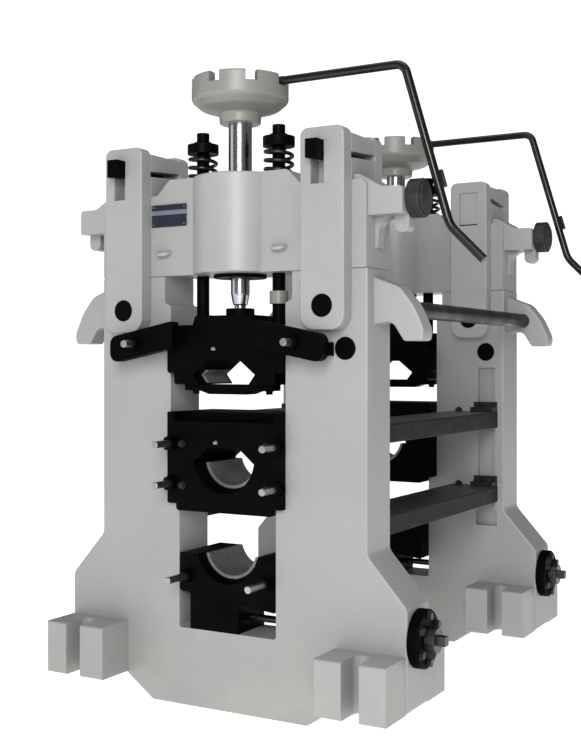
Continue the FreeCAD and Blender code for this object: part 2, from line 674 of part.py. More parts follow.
def crank_bar():
    """The bent bar that turns the wheel, with the small lug on its sloping leg."""
    start = V(WHEEL_RADIUS - WHEEL_RIM_WALL - 6, 0, CRANK_Z)
    points = [start, V(CRANK_REACH, 0, CRANK_Z), V(CRANK_SLOPE_END[0], 0, CRANK_Z - CRANK_SLOPE_END[1]),
              V(CRANK_TIP[0], 0, CRANK_Z - CRANK_TIP[1])]
    corners = [(points[1], CRANK_BEND), (points[2], CRANK_ELBOW)]
    edges = []
    last = start
    for i, (corner, radius) in enumerate(corners):
        back = points[i].sub(corner).normalize()
        ahead = points[i + 2].sub(corner).normalize()
        half_angle = back.getAngle(ahead) / 2
        reach = radius / math.tan(half_angle)
        bisector = back.add(ahead).normalize()
        centre = corner.add(V(bisector).multiply(radius / math.sin(half_angle)))
        arc_start = corner.add(V(back).multiply(reach))
        arc_stop = corner.add(V(ahead).multiply(reach))
        edges.append(Part.makeLine(last, arc_start))
        edges.append(Part.Arc(arc_start, centre.sub(V(bisector).multiply(radius)), arc_stop).toShape())
        last = arc_stop
    edges.append(Part.makeLine(last, points[3]))
    section = Part.Wire([Part.makeCircle(CRANK_RADIUS, start, ALONG_X)])
    bar = Part.Wire(edges).makePipeShell([section], True, False)
    return bar


def balance_rods():
    """The two rods from the chock up through the cap, each with the cup and nut over its spring."""
    foot_z = TOP_AXIS + TOP_CHOCK_ABOVE_AXIS - TOP_CHOCK_SHOULDER
    cup_z = CAP_TOP + SPRING_HEIGHT
    rod = cylinder(V(ROD_OFFSET, 0, foot_z), ALONG_Z, ROD_RADIUS, CAP_TOP + ROD_ABOVE_CAP - foot_z)
    cup = cylinder(V(ROD_OFFSET, 0, cup_z), ALONG_Z, CUP_RADIUS, CUP_HEIGHT)
    nut = hexagon(V(ROD_OFFSET, 0, cup_z + CUP_HEIGHT), ALONG_Z, ROD_NUT_RADIUS, ROD_NUT_HEIGHT)
    return left_and_right(rod.fuse([cup, nut]).removeSplitter())


def balance_springs():
    """The coil springs that carry the chock's weight while the rolls are lifted off."""
    wire = SPRING_WIRE / 2
    mean = SPRING_RADIUS - wire
    helix = Part.makeHelix(SPRING_PITCH, SPRING_HEIGHT - SPRING_WIRE, mean)
    section = Part.Wire([Part.makeCircle(wire, V(mean, 0, 0), ALONG_Y)])
    coil = Part.Wire(helix.Edges).makePipeShell([section], True, True)
    coil.translate(V(ROD_OFFSET, 0, CAP_TOP + wire))
    return left_and_right(coil)


# ---- chocks ----------------------------------------------------------------------------------------

def top_chock():
    low = TOP_AXIS - TOP_CHOCK_BELOW_AXIS
    high = TOP_AXIS + TOP_CHOCK_ABOVE_AXIS
    outer = -FACE - CHOCK_PLAY - CHOCK_PROUD
    body = plate(symmetric([
        (TOP_CHOCK_LEG_HALF, low, 10),
        (TOP_CHOCK_LEG_HALF, TOP_AXIS - TOP_GUIDE_BELOW_AXIS),
        (WIDE_CHOCK_HALF, TOP_AXIS - TOP_GUIDE_BELOW_AXIS, 12),
        (WIDE_CHOCK_HALF, TOP_AXIS + TOP_GUIDE_ABOVE_AXIS, 12),
        (TOP_CHOCK_NECK_HALF, TOP_AXIS + TOP_GUIDE_ABOVE_AXIS),
        (TOP_CHOCK_NECK_HALF, high - TOP_CHOCK_SHOULDER, 6),
        (TOP_CHOCK_CROWN_HALF - 10, high - TOP_CHOCK_SHOULDER, 5),
        (TOP_CHOCK_CROWN_HALF - 20, high, 10),
    ]), outer, -outer)
    return body.cut(plate(top_mouth(0), outer - 1, -outer + 1))


def top_mouth(inset):
    """The top chock's neck opening, or the same outline drawn in by the liner's wall."""
    low = TOP_AXIS - TOP_CHOCK_BELOW_AXIS
    return symmetric([
        (TOP_MOUTH_HALF - 26 - inset, low - 20),
        (TOP_MOUTH_HALF - 26 - inset, low + 4),
        (TOP_MOUTH_HALF - inset, TOP_AXIS - TOP_MOUTH_BELOW_AXIS),
        (ROOF_HALF - inset * 0.45, TOP_AXIS + TOP_ROOF_ABOVE_AXIS - inset),
    ])


def top_liner():
    """The bearing lining on both sides of the top chock's opening."""
    y_low = -FACE + LINER_START
    y_high = FACE - 5
    low = TOP_AXIS - TOP_CHOCK_BELOW_AXIS
    ring = plate(top_mouth(0), y_low, y_high).cut(plate(top_mouth(LINER_WALL), y_low - 1, y_high + 1))
    high = TOP_AXIS + TOP_LINER_ABOVE_AXIS
    ring = ring.cut(box(-CHOCK_HALF, CHOCK_HALF, y_low - 1, y_high + 1, low - 30, low + 6))
    return ring.cut(box(-CHOCK_HALF, CHOCK_HALF, y_low - 1, y_high + 1, high, high + 200)).Solids


def top_keeper():
    """The keeper bolted under the top chock's legs, deepest under the neck opening."""
    low = TOP_AXIS - TOP_CHOCK_BELOW_AXIS
    y_low = KEEPER_OFFSET - KEEPER_DEPTH / 2
    inner = TOP_MOUTH_HALF - 26
    return plate(symmetric([
        (inner - 30, low - KEEPER_DROP, 8),
        (inner + 12, low - KEEPER_THICKNESS, 8),
        (inner + 82, low - KEEPER_THICKNESS, 4),
        (inner + 82, low),
    ]), y_low, y_low + KEEPER_DEPTH)


def neck_seat(axis_z, radius, y_low, y_high):
    return cylinder(V(0, y_low, axis_z), ALONG_Y, radius, y_high - y_low)


def middle_roof(y_low, y_high):
    """The space over the middle neck: slanted sides and a flat roof."""
    half = LINER_SEAT + COUNTERBORE_WALL
    return plate(symmetric([
        (half, MIDDLE_AXIS - PARTING_BELOW_AXIS),
        (half, MIDDLE_AXIS - PARTING_BELOW_AXIS + 6),
        (ROOF_HALF, MIDDLE_AXIS + MID_ROOF_ABOVE_AXIS),
    ]), y_low, y_high)


def middle_block():
    """The middle chock and its rider in one piece, before they are parted."""
    outer = -FACE - CHOCK_PROUD
    inner = FACE + CHOCK_INNER_REACH
    low = MIDDLE_AXIS - MID_CHOCK_BELOW_AXIS
    high = MIDDLE_AXIS + MID_CHOCK_ABOVE_AXIS
    parting = MIDDLE_AXIS - PARTING_BELOW_AXIS
    body = plate(symmetric([
        (CHOCK_HALF, low, 14),
        (CHOCK_HALF, LEDGE_Z),
        (WIDE_CHOCK_HALF, LEDGE_Z, 6),
        (WIDE_CHOCK_HALF, high, 6),
    ]), outer, inner)
    above = box(-UPPER_HALF, UPPER_HALF, outer - 2, inner + 2, parting, high)
    step = box(-MID_STEP_HALF, MID_STEP_HALF, outer - 1, outer + MID_STEP_DEPTH,
               MIDDLE_AXIS + MID_STEP_ABOVE_AXIS, high + 1)
    cuts = [
        step,
        neck_seat(MIDDLE_AXIS, LINER_SEAT, outer - 1, inner + 1).cut(above),
        neck_seat(MIDDLE_AXIS, LINER_SEAT + COUNTERBORE_WALL, outer - 1, -FACE + LINER_START).cut(above),
        middle_roof(outer - 1, inner + 1),
    ]
    for z in CHOCK_STUD_HEIGHTS:
        cuts += left_and_right(cylinder(V(CHOCK_STUD_AT, outer - 1, MIDDLE_AXIS + z), ALONG_Y,
                                        STUD_RADIUS + BORE_PLAY, CHOCK_PROUD + STUD_DEPTH + 2))
    return body.cut(cuts)


def middle_chock():
    parting = MIDDLE_AXIS - PARTING_BELOW_AXIS
    above = box(-COLUMN_OUTER, COLUMN_OUTER, -COLUMN_OUTER, COLUMN_OUTER, parting, CAP_TOP)
    return middle_block().cut(above)


def middle_rider():
    """The upper bearing block, lying on the middle chock while no roll holds it up."""
    parting = MIDDLE_AXIS - PARTING_BELOW_AXIS
    below = box(-COLUMN_OUTER, COLUMN_OUTER, -COLUMN_OUTER, COLUMN_OUTER, 0, parting)
    return middle_block().cut(below)


def half_liner(axis_z, rim_z):
    """A half-round bearing shell, open upwards, up to the chock's rim."""
    y_low = -FACE + LINER_START
    y_high = FACE + CHOCK_INNER_REACH
    shell = neck_seat(axis_z, LINER_SEAT, y_low, y_high).cut(
        neck_seat(axis_z, NECK_RADIUS, y_low - 1, y_high + 1))
    return shell.cut(box(-CHOCK_HALF, CHOCK_HALF, y_low - 1, y_high + 1, rim_z, axis_z + CHOCK_HALF))


def wedge_top(x):
    """Height of the wedge's sloping upper face at a place along X."""
    return SILL_TOP + WEDGE_HEIGHT_AT_SCREW - x * WEDGE_RISE


def bottom_chock():
    top = BOTTOM_AXIS - BOTTOM_CHOCK_TOP_BELOW_AXIS
    inner = FACE + CHOCK_INNER_REACH
    body = plate([
        (-CHOCK_HALF, wedge_top(-CHOCK_HALF), 14),
        (CHOCK_HALF, wedge_top(CHOCK_HALF), 10),
        (CHOCK_HALF, top, 6),
        (-CHOCK_HALF, top, 6),
    ], -FACE, inner)
    liner_y = -FACE + LINER_START
    return body.cut([
        neck_seat(BOTTOM_AXIS, LINER_SEAT, -FACE - 1, inner + 1),
        neck_seat(BOTTOM_AXIS, LINER_SEAT + COUNTERBORE_WALL, -FACE - 1, liner_y),
    ])


# ---- wedge -----------------------------------------------------------------------------------------

def wedge():
    """The tapered block between the sill and the bottom chock, tapped for its screw."""
    side = FACE - WEDGE_SIDE_PLAY
    block = plate([
        (WEDGE_START, SILL_TOP + WEDGE_PLAY),
        (WEDGE_END, SILL_TOP + WEDGE_PLAY),
        (WEDGE_END, wedge_top(WEDGE_END) - WEDGE_PLAY),
        (WEDGE_START, wedge_top(WEDGE_START) - WEDGE_PLAY),
    ], -side, side)
    return block.cut(cylinder(V(WEDGE_END - WEDGE_BORE_DEPTH, 0, WEDGE_SCREW_Z), ALONG_X,
                              WEDGE_SCREW_RADIUS + BORE_PLAY, WEDGE_BORE_DEPTH + 1))


def wedge_flange():
    """The plate bolted on the base's side that holds the screw's collar."""
    plate_body = cylinder(V(BASE_OUTER, 0, WEDGE_SCREW_Z), ALONG_X, FLANGE_RADIUS, FLANGE_PLATE)
    rim = [edge for edge in plate_body.Edges if edge.BoundBox.XMin > BASE_OUTER + 1 and edge.Length > FLANGE_RADIUS]
    plate_body = plate_body.makeChamfer(5, rim)
    return plate_body.cut(cylinder(V(BASE_OUTER - 1, 0, WEDGE_SCREW_Z), ALONG_X,
                                   WEDGE_SCREW_RADIUS + BORE_PLAY, FLANGE_PLATE + 2))


def wedge_screw():
    """The long screw, its thrust collar and the square that a spanner turns."""
    start = WEDGE_END - WEDGE_SCREW_START
    collar_x = BASE_OUTER + FLANGE_PLATE + BORE_PLAY
    rod = cylinder(V(start, 0, WEDGE_SCREW_Z), ALONG_X, WEDGE_SCREW_RADIUS, collar_x + 1 - start)
    collar = cylinder(V(collar_x, 0, WEDGE_SCREW_Z), ALONG_X, COLLAR_RADIUS, COLLAR_LENGTH)
    half = SQUARE_SIDE / 2
    square = box(collar_x + COLLAR_LENGTH - 1, collar_x + COLLAR_LENGTH + SQUARE_LENGTH, -half, half,
                 WEDGE_SCREW_Z - half, WEDGE_SCREW_Z + half)
    return rod.fuse([collar, square]).removeSplitter()


# ---- clamps and studs ------------------------------------------------------------------------------

def clamp_middle_z(x):
    """Height of the drooping clamp bar's middle line at a place along X."""
    share = (x - CLAMP_INNER) / (CLAMP_OUTER - CLAMP_INNER)
    return TOP_AXIS + CLAMP_INNER_ABOVE_AXIS - share * CLAMP_DROOP


def chock_clamp():
    """The +X bar that keeps the top chock in: toe on the chock, heel on the column."""
    back = -STRAP_FACE - 2
    front = back - CLAMP_THICKNESS
    half = CLAMP_HEIGHT / 2
    bar = plate([
        (CLAMP_INNER, clamp_middle_z(CLAMP_INNER) - half, 10),
        (CLAMP_OUTER, clamp_middle_z(CLAMP_OUTER) - half, 34),
        (CLAMP_OUTER, clamp_middle_z(CLAMP_OUTER) + half, 34),
        (CLAMP_INNER, clamp_middle_z(CLAMP_INNER) + half, 10),
    ], front, back)
    toe_back = -FACE - CHOCK_PLAY - CHOCK_PROUD - CHOCK_PLAY
    toe_z = clamp_middle_z(CLAMP_INNER + 15)
    toe = box(CLAMP_INNER, CLAMP_INNER + 30, back, toe_back, toe_z - 26, toe_z + 26)
    heel_x = CLAMP_OUTER - CLAMP_HEEL
    heel_top = COLUMN_TOP - STRAP_BELOW_COLUMN_TOP - 8
    heel_low = clamp_middle_z(CLAMP_OUTER - CLAMP_HEEL / 2) - half + 22
    heel = box(heel_x, CLAMP_OUTER - 12, back, -FACE, heel_low, min(heel_top, heel_low + 50))
    bore = cylinder(V(CLAMP_STUD_AT, front - 1, clamp_middle_z(CLAMP_STUD_AT)), ALONG_Y,
                    STUD_RADIUS + BORE_PLAY, CLAMP_THICKNESS + 2)
    return bar.fuse([toe, heel]).cut(bore).removeSplitter()


def stud(x, z, nut_face, reach):
    """A stud that stands out of a casting, with the nut that it carries."""
    rod = cylinder(V(x, -FACE + STUD_DEPTH, z), V(0, -1, 0), STUD_RADIUS, STUD_DEPTH + reach)
    return rod.fuse(hexagon(V(x, nut_face, z), V(0, -1, 0), NUT_RADIUS, NUT_HEIGHT)).removeSplitter()


def column_studs():
    """The studs of the clamps and of the middle chocks."""
    clamp_face = -STRAP_FACE - 2 - CLAMP_THICKNESS
    clamp_stud_z = clamp_middle_z(CLAMP_STUD_AT)
    pieces = [stud(CLAMP_STUD_AT, clamp_stud_z, clamp_face, -FACE - clamp_face + CLAMP_STUD_OUT)]
    for z in CHOCK_STUD_HEIGHTS:
        pieces.append(stud(CHOCK_STUD_AT, MIDDLE_AXIS + z, -FACE - CHOCK_PROUD, CHOCK_STUD_OUT))
    return pieces + [flipped_x(piece) for piece in pieces]


# ---- between the housings --------------------------------------------------------------------------

def rest_bars():
    """The flat bars beside the lower and middle passes, on both sides, from housing to housing."""
    inner = WINDOW_HALF + REST_BAR_FROM_WINDOW
    pieces = []
    for axis_z in (BOTTOM_AXIS, MIDDLE_AXIS):
        top = axis_z + REST_BAR_OVER_AXIS
        bar = box(inner, inner + REST_BAR_WIDTH, FACE, STAND_PITCH - FACE, top - REST_BAR_THICKNESS, top)
        long_edges = [edge for edge in bar.Edges if edge.Length > STAND_PITCH / 2]
        pieces += left_and_right(bar.makeFillet(6, long_edges))
    return pieces


def rest_bar_brackets():
    """The angles that hold each bar's ends down, bolted in the columns' grooves."""
    middle = WINDOW_HALF + GROOVE_FROM_WINDOW + GROOVE_WIDTH / 2
    half = BRACKET_WIDTH / 2
    pieces = []
    for axis_z in (BOTTOM_AXIS, MIDDLE_AXIS):
        top = axis_z + REST_BAR_OVER_AXIS
        leg = box(middle - half, middle + half, FACE, FACE + BRACKET_REACH, top, top + BRACKET_THICKNESS)
        upright = box(middle - half, middle + half, FACE, FACE + BRACKET_THICKNESS, top, top + BRACKET_RISE)
        pieces += left_and_right(leg.fuse(upright).removeSplitter())
    return near_and_far(pieces)


def spreader_bars():
    """The round bars between the crane horns."""
    start = V(COLUMN_OUTER + SPREADER_OUT, HORN_THICKNESS / 2, COLUMN_TOP - SPREADER_BELOW_COLUMN_TOP)
    bar = cylinder(start, ALONG_Y, SPREADER_RADIUS, STAND_PITCH - HORN_THICKNESS)
    return left_and_right(bar)


# ---- all nodes -------------------------------------------------------------------------------------

def nodes():
    """Every node, as name and list of solids."""
    one_sided = {
        "housing": [housing()],
        "cap": [cap()],
        "middle_chock": [middle_chock()],
        "balance_springs": balance_springs(),
        "top_chock": [top_chock()],
        "top_liner": top_liner(),
        "top_keeper": [top_keeper()],
        "balance_rods": balance_rods(),
        "breaker_cup": [breaker_cup()],
        "screw": [screw()],
        "handwheel": [handwheel()],
        "crank_bar": [crank_bar()],
        "bottom_chock": [bottom_chock()],
        "bottom_liner": [half_liner(BOTTOM_AXIS, BOTTOM_AXIS - BOTTOM_CHOCK_TOP_BELOW_AXIS)],
        "wedge": [wedge()],
        "wedge_screw": [wedge_screw()],
    }
    shared = {
        "cap_straps": cap_straps(),
        "cap_cotters": cap_cotters(),
        "cotter_gibs": cotter_gibs(),
        "housing_pins": housing_pins(),
        "screw_nuts": [screw_nut()],
        "arm_end_drums": [arm_end_drum()],
        "middle_riders": [middle_rider()],
        "middle_liners": [half_liner(MIDDLE_AXIS, MIDDLE_AXIS - PARTING_BELOW_AXIS)],
        "chock_clamps": left_and_right(chock_clamp()),
        "column_studs": column_studs(),
        "wedge_flanges": [wedge_flange()],
    }
    across = {
        "rest_bars": rest_bars(),
        "rest_bar_brackets": rest_bar_brackets(),
        "spreader_bars": spreader_bars(),
        "name_plate": [name_plate()],
    }
    for name, shapes in one_sided.items():
        yield "near_" + name, shapes
        yield "far_" + name, [at_far_side(shape) for shape in shapes]
    for name, shapes in shared.items():
        yield name, near_and_far(shapes)
    for name, shapes in across.items():
        yield name, shapes


def main():
    os.makedirs("parts", exist_ok=True)
    for name, shapes in nodes():
        for shape in shapes:
            if not shape.isValid():
                print("not valid:", name)
        print(name, save(name, shapes), "solids", round(sum(shape.Volume for shape in shapes) / 1e6, 2), "litres")


main()
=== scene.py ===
# %% [markdown]
# # Three-high rolling mill stand
# Two cast housings carry the chocks that hold a mill's three rolls. Each housing has a heavy cap that
# is pulled down by slotted straps and flat cotters, a hand screw-down with a notched wheel, and a wedge
# under its bottom chock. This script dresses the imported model: it eases the castings' edges, paints
# and polishes them, and adds the fasteners, coil springs and small cast details.

# %% Load the frame
import json
import math

import bmesh
import bpy
from mathutils import Matrix, Vector

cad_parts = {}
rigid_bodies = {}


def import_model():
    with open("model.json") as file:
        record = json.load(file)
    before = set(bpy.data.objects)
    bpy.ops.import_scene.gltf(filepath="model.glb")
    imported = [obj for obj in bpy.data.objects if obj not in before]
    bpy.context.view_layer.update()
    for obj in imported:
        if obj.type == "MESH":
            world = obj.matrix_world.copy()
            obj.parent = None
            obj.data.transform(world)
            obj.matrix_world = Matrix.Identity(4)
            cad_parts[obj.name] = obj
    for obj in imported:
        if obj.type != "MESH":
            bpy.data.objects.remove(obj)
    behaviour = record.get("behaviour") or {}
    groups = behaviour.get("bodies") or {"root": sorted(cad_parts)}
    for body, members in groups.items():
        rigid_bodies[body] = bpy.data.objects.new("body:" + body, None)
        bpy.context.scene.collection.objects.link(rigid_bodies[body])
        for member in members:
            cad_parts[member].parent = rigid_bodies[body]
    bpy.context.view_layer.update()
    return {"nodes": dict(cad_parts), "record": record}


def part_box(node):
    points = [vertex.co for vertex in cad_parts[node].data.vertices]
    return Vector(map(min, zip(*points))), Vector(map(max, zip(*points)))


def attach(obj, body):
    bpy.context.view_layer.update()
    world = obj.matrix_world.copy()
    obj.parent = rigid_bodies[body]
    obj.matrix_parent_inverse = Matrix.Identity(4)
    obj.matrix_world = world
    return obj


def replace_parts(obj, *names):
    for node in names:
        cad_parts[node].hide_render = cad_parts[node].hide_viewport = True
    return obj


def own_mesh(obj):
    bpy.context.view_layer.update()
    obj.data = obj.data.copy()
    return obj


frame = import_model()

# %% [markdown]
# The two sides of the stand are the same thing seen in a mirror. So every small piece is placed once, by
# its place on the near side, and a function gives the matching place on the far side. The faces and axes
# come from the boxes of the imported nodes, so a piece sits where the model says and nothing is fitted.

# %% Places worked out from the frame
MM = 0.001
SIDES = ("near", "far")


def middle(node, axis):
    low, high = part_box(node)
    return (low[axis] + high[axis]) / 2


PITCH = middle("far_screw", 1) - middle("near_screw", 1)
HOUSING_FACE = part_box("rest_bars")[0][1]
CAP_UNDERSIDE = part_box("near_cap")[0][2]
CAP_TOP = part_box("near_cap")[1][2]
BASE_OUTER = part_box("wedge_flanges")[0][0]


def on_side(side, point):
    """The same place on the near or the far side."""
    x, y, z = point
    return Vector((x, y if side == "near" else PITCH - y, z))


def facing(side, direction):
    """A direction turned over with its side."""
    x, y, z = direction
    return Vector((x, y if side == "near" else -y, z))


print("distance between the two screws:", round(PITCH, 3), "m")

# %% [markdown]
# Materials and Geometry Nodes are both graphs. One small class makes a node of any kind, sets its options
# first and then feeds its sockets. A second one wraps a socket, so that shader maths reads as an ordinary
# expression and adds its own Math nodes.

# %% Graph helpers
class Value:
    """A socket that can be used in arithmetic."""

    def __init__(self, graph, socket):
        self.graph = graph
        self.socket = socket

    def maths(self, operation, first, second=0.0):
        made = self.graph.node("ShaderNodeMath", {"operation": operation}, {0: first, 1: second})
        return Value(self.graph, made.outputs[0])

    def __add__(self, other):
        return self.maths("ADD", self, other)

    def __radd__(self, other):
        return self.maths("ADD", other, self)

    def __sub__(self, other):
        return self.maths("SUBTRACT", self, other)

    def __rsub__(self, other):
        return self.maths("SUBTRACT", other, self)

    def __mul__(self, other):
        return self.maths("MULTIPLY", self, other)

    def __rmul__(self, other):
        return self.maths("MULTIPLY", other, self)

    def above(self, limit):
        return self.maths("GREATER_THAN", self, limit)

    def below(self, limit):
        return self.maths("LESS_THAN", self, limit)


class Graph:
    """A node tree with one way to add a node."""

    def __init__(self, tree):
        self.tree = tree

    def node(self, kind, settings=None, sockets=None):
        made = self.tree.nodes.new(kind)
        for key, value in (settings or {}).items():
            setattr(made, key, value)
        for key, value in (sockets or {}).items():
            self.feed(made.inputs[key], value)
        return made

    def feed(self, socket, value):
        if isinstance(value, Value):
            self.tree.links.new(value.socket, socket)
        else:
            socket.default_value = value

    def value(self, made, output=0):
        return Value(self, made.outputs[output])


class Finish(Graph):
    """A material built round one Principled shader, with patterns in Object coordinates."""

    def __init__(self, name, roughness, metallic=0.0, specular=0.5):
        self.material = bpy.data.materials.new(name)
        self.material.use_nodes = True
        super().__init__(self.material.node_tree)
        self.shader = self.tree.nodes["Principled BSDF"]
        self.shader.inputs["Roughness"].default_value = roughness
        self.shader.inputs["Metallic"].default_value = metallic
        self.shader.inputs["Specular IOR Level"].default_value = specular
        self.place = self.value(self.node("ShaderNodeTexCoord"), "Object")

    def stretched(self, scale):
        """Object coordinates with another scale along each axis."""
        return self.value(self.node("ShaderNodeMapping", None, {"Vector": self.place, "Scale": scale}))

    def noise(self, scale, detail=3.0, place=None, roughness=0.5):
        made = self.node("ShaderNodeTexNoise", None, {"Vector": place or self.place, "Scale": scale,
                                                      "Detail": detail, "Roughness": roughness})
        return self.value(made, "Fac")

    def height(self, axis):
        """One of the Object coordinates as a number."""
        return self.value(self.node("ShaderNodeSeparateXYZ", None, {0: self.place}), axis)

    def ramp(self, value, low, high):
        """0 below low, 1 above high."""
        made = self.node("ShaderNodeMapRange", None, {"Value": value, "From Min": low, "From Max": high})
        return self.value(made)

    def blend(self, share, first, second):
        """A colour between two others."""
        made = self.node("ShaderNodeMix", {"data_type": "RGBA"},
                         {"Factor": share, 6: first, 7: second})
        return self.value(made, 2)

    def colour(self, value):
        self.feed(self.shader.inputs["Base Color"], value)

    def roughness(self, value):
        self.feed(self.shader.inputs["Roughness"], value)

    def relief(self, height, depth, strength=1.0):
        """Bumps depth metres high."""
        made = self.node("ShaderNodeBump", None, {"Height": height, "Distance": depth, "Strength": strength})
        self.feed(self.shader.inputs["Normal"], self.value(made))


def shade(red, green, blue, factor=1.0):
    return (red * factor, green * factor, blue * factor, 1.0)


# %% [markdown]
# The castings are sprayed with a pale grey-green machine enamel. Real enamel over cast iron is never one
# flat tone: it has broad soft clouds where the coat is thicker, a fine sand-cast grain under it, and a
# little dust that settles low down. All of it stays faint, because the stand is new.

# %% Machine enamel
def enamel(name, tone, grain=0.0006):
    finish = Finish(name, 0.42, specular=0.4)
    clouds = finish.ramp(finish.noise(1.7, 4.0), 0.35, 0.65)
    speckle = finish.ramp(finish.noise(95.0, 2.0), 0.3, 0.7)
    dust = finish.ramp(finish.noise(6.0, 5.0), 0.45, 0.75) * (1 - finish.ramp(finish.height("Z"), 0.05, 0.5))
    coat = finish.blend(clouds, shade(*tone, 0.94), shade(*tone, 1.04))
    coat = finish.blend(speckle * 0.12, coat, shade(*tone, 0.86))
    finish.colour(finish.blend(dust * 0.25, coat, shade(0.36, 0.34, 0.29)))
    finish.roughness(0.36 + 0.14 * clouds + 0.1 * dust)
    finish.relief(finish.noise(22.0, 5.0, roughness=0.6) + 0.35 * speckle, grain)
    finish.shader.inputs["Coat Weight"].default_value = 0.15
    finish.shader.inputs["Coat Roughness"].default_value = 0.3
    return finish.material


PALE = (0.243, 0.246, 0.238)
CASTING = enamel("casting_enamel", PALE)
WHEEL = enamel("wheel_enamel", (0.17, 0.17, 0.156), 0.0004)
print("enamel made for the castings and the wheels")

# %% [markdown]
# Chocks, clamps, cotters and cranks are black. The coat is thin, so the rough casting shows through and
# catches light in small glints. It's kept a little glossy, with oily patches where it is smoother.

# %% Black coat
def black_coat(name, tone=0.0006, gloss=0.46, grain=0.0008, specular=0.03):
    finish = Finish(name, gloss, specular=specular)
    oil = finish.ramp(finish.noise(7.0, 4.0), 0.4, 0.68)
    finish.colour(finish.blend(oil, shade(1, 1.02, 1.05, tone), shade(1.3, 1.25, 1.1, tone * 1.9)))
    finish.roughness(gloss + 0.12 - 0.22 * oil)
    finish.relief(finish.noise(48.0, 4.0), grain)
    return finish.material


BLACK = black_coat("black_coat")
BLACK_BAR = black_coat("black_bar_coat", 0.002, 0.27, 0.0003, 0.4)

# %% [markdown]
# Turned steel has fine rings round its axis. Noise that is stretched flat across the axis gives them: it
# hardly changes along the surface's circle and changes quickly along the axis. The same pattern, duller
# and with worn patches, is the bored face of a bearing liner.

# %% Turned and ground steel
def turned(name, axis, tone, gloss, rings=420.0, metallic=1.0, wear=0.0):
    finish = Finish(name, gloss, metallic)
    scale = [3.0, 3.0, 3.0]
    scale[axis] = rings
    lines = finish.noise(1.0, 3.0, finish.stretched(tuple(scale)))
    patches = finish.ramp(finish.noise(11.0, 4.0), 0.42, 0.7)
    base = finish.blend(finish.ramp(lines, 0.3, 0.7), shade(*tone, 0.82), shade(*tone, 1.08))
    finish.colour(finish.blend(patches * wear, base, shade(*tone, 0.45)))
    finish.roughness(gloss + 0.1 * lines + 0.25 * wear * patches)
    finish.relief(lines, 0.00008)
    return finish.material


SCREW_STEEL = turned("polished_screw_steel", 2, (0.42, 0.44, 0.47), 0.16)
STUD_STEEL = turned("plated_stud_steel", 1, (0.36, 0.37, 0.39), 0.3)
WEDGE_SCREW_STEEL = turned("wedge_screw_steel", 0, (0.07, 0.07, 0.072), 0.34)
LINER_METAL = turned("bearing_metal", 1, (0.2, 0.2, 0.195), 0.42, 260.0, 0.55, 0.5)
NUT_STEEL = turned("bright_nut_steel", 0, (0.5, 0.51, 0.53), 0.3)

# %% [markdown]
# The rest bars are planed on top and left as rolled on their sides. Light and shade are painted on them
# too: the top is painted paler, as if lit from above, and the sides darker, as if in shade. The mask is the
# surface's own upward normal, so the painted lit top ends exactly at the edge, with scratches along the
# bar's length.

# %% Planed bars, with painted light on top and painted shade on the sides
def rest_bar_painted_light():
    finish = Finish("planed_rest_bar", 0.4, 0.0, 0.12)
    normal = finish.value(finish.node("ShaderNodeNewGeometry"), "Normal")
    upward = finish.value(finish.node("ShaderNodeSeparateXYZ", None, {0: normal}), "Z").above(0.8)
    strokes = finish.noise(1.0, 4.0, finish.stretched((240.0, 2.0, 240.0)))
    scale_marks = finish.ramp(finish.noise(14.0, 5.0), 0.4, 0.7)
    # Painted light: the top face is paler, as if lit from above; the sides are darker, as if in shade, with
    # real scale marks.
    scale_and_painted_shade = finish.blend(scale_marks, shade(0.004, 0.004, 0.004), shade(0.016, 0.013, 0.011))
    top_painted_lit = finish.blend(finish.ramp(strokes, 0.3, 0.7), shade(0.03, 0.031, 0.03), shade(0.06, 0.061, 0.058))
    finish.colour(finish.blend(upward, scale_and_painted_shade, top_painted_lit))
    finish.roughness(0.5 - 0.14 * upward + 0.1 * strokes)
    finish.relief(strokes * upward + scale_marks * 0.4, 0.0003)
    return finish.material


def name_plate_finish():
    """Dark anodised plate with one lighter blank band across it."""
    finish = Finish("blank_name_plate", 0.32, 0.4)
    low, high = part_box("name_plate")
    rise = (high[2] - low[2]) / 10
    up = finish.height("Z")
    band = up.above(low[2] + 5.4 * rise) * up.below(low[2] + 7.4 * rise)
    frame_tone = finish.blend(band, shade(0.012, 0.016, 0.03), shade(0.16, 0.18, 0.22))
    finish.colour(finish.blend(finish.noise(60.0) * 0.2, frame_tone, shade(0.05, 0.055, 0.07)))
    return finish.material


def moulded_rubber():
    finish = Finish("drum_rubber", 0.55, specular=0.3)
    finish.colour(finish.blend(finish.ramp(finish.noise(30.0), 0.35, 0.7), shade(1, 1, 1, 0.012),
                               shade(1, 1, 1, 0.03)))
    finish.relief(finish.noise(120.0), 0.0004)
    return finish.material


REST_BAR = rest_bar_painted_light()
PLATE = name_plate_finish()
RUBBER = moulded_rubber()
DARK_STEEL = black_coat("dark_bar_steel", 0.006, 0.4, 0.0003, 0.25)
print("materials:", len(bpy.data.materials))

# %% [markdown]
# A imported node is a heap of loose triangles, so a copy is merged, its flat faces are joined up again, and
# its edges get a narrow bevel. Real castings and plates have no razor edge, and the bevel is what
# catches the light along every corner. Weighted normals keep the big flat faces flat beside it.

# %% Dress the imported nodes
SHARP = math.radians(32)


def plain_mesh(piece):
    """The piece with its modifiers applied, as a new object at the origin."""
    depsgraph = bpy.context.evaluated_depsgraph_get()
    mesh = bpy.data.meshes.new_from_object(piece.evaluated_get(depsgraph), depsgraph=depsgraph)
    name = piece.name
    old = piece.data
    bpy.data.objects.remove(piece)
    if old.users == 0:
        bpy.data.meshes.remove(old)
    mesh.name = name
    made = bpy.data.objects.new(name, mesh)
    bpy.context.scene.collection.objects.link(made)
    return made


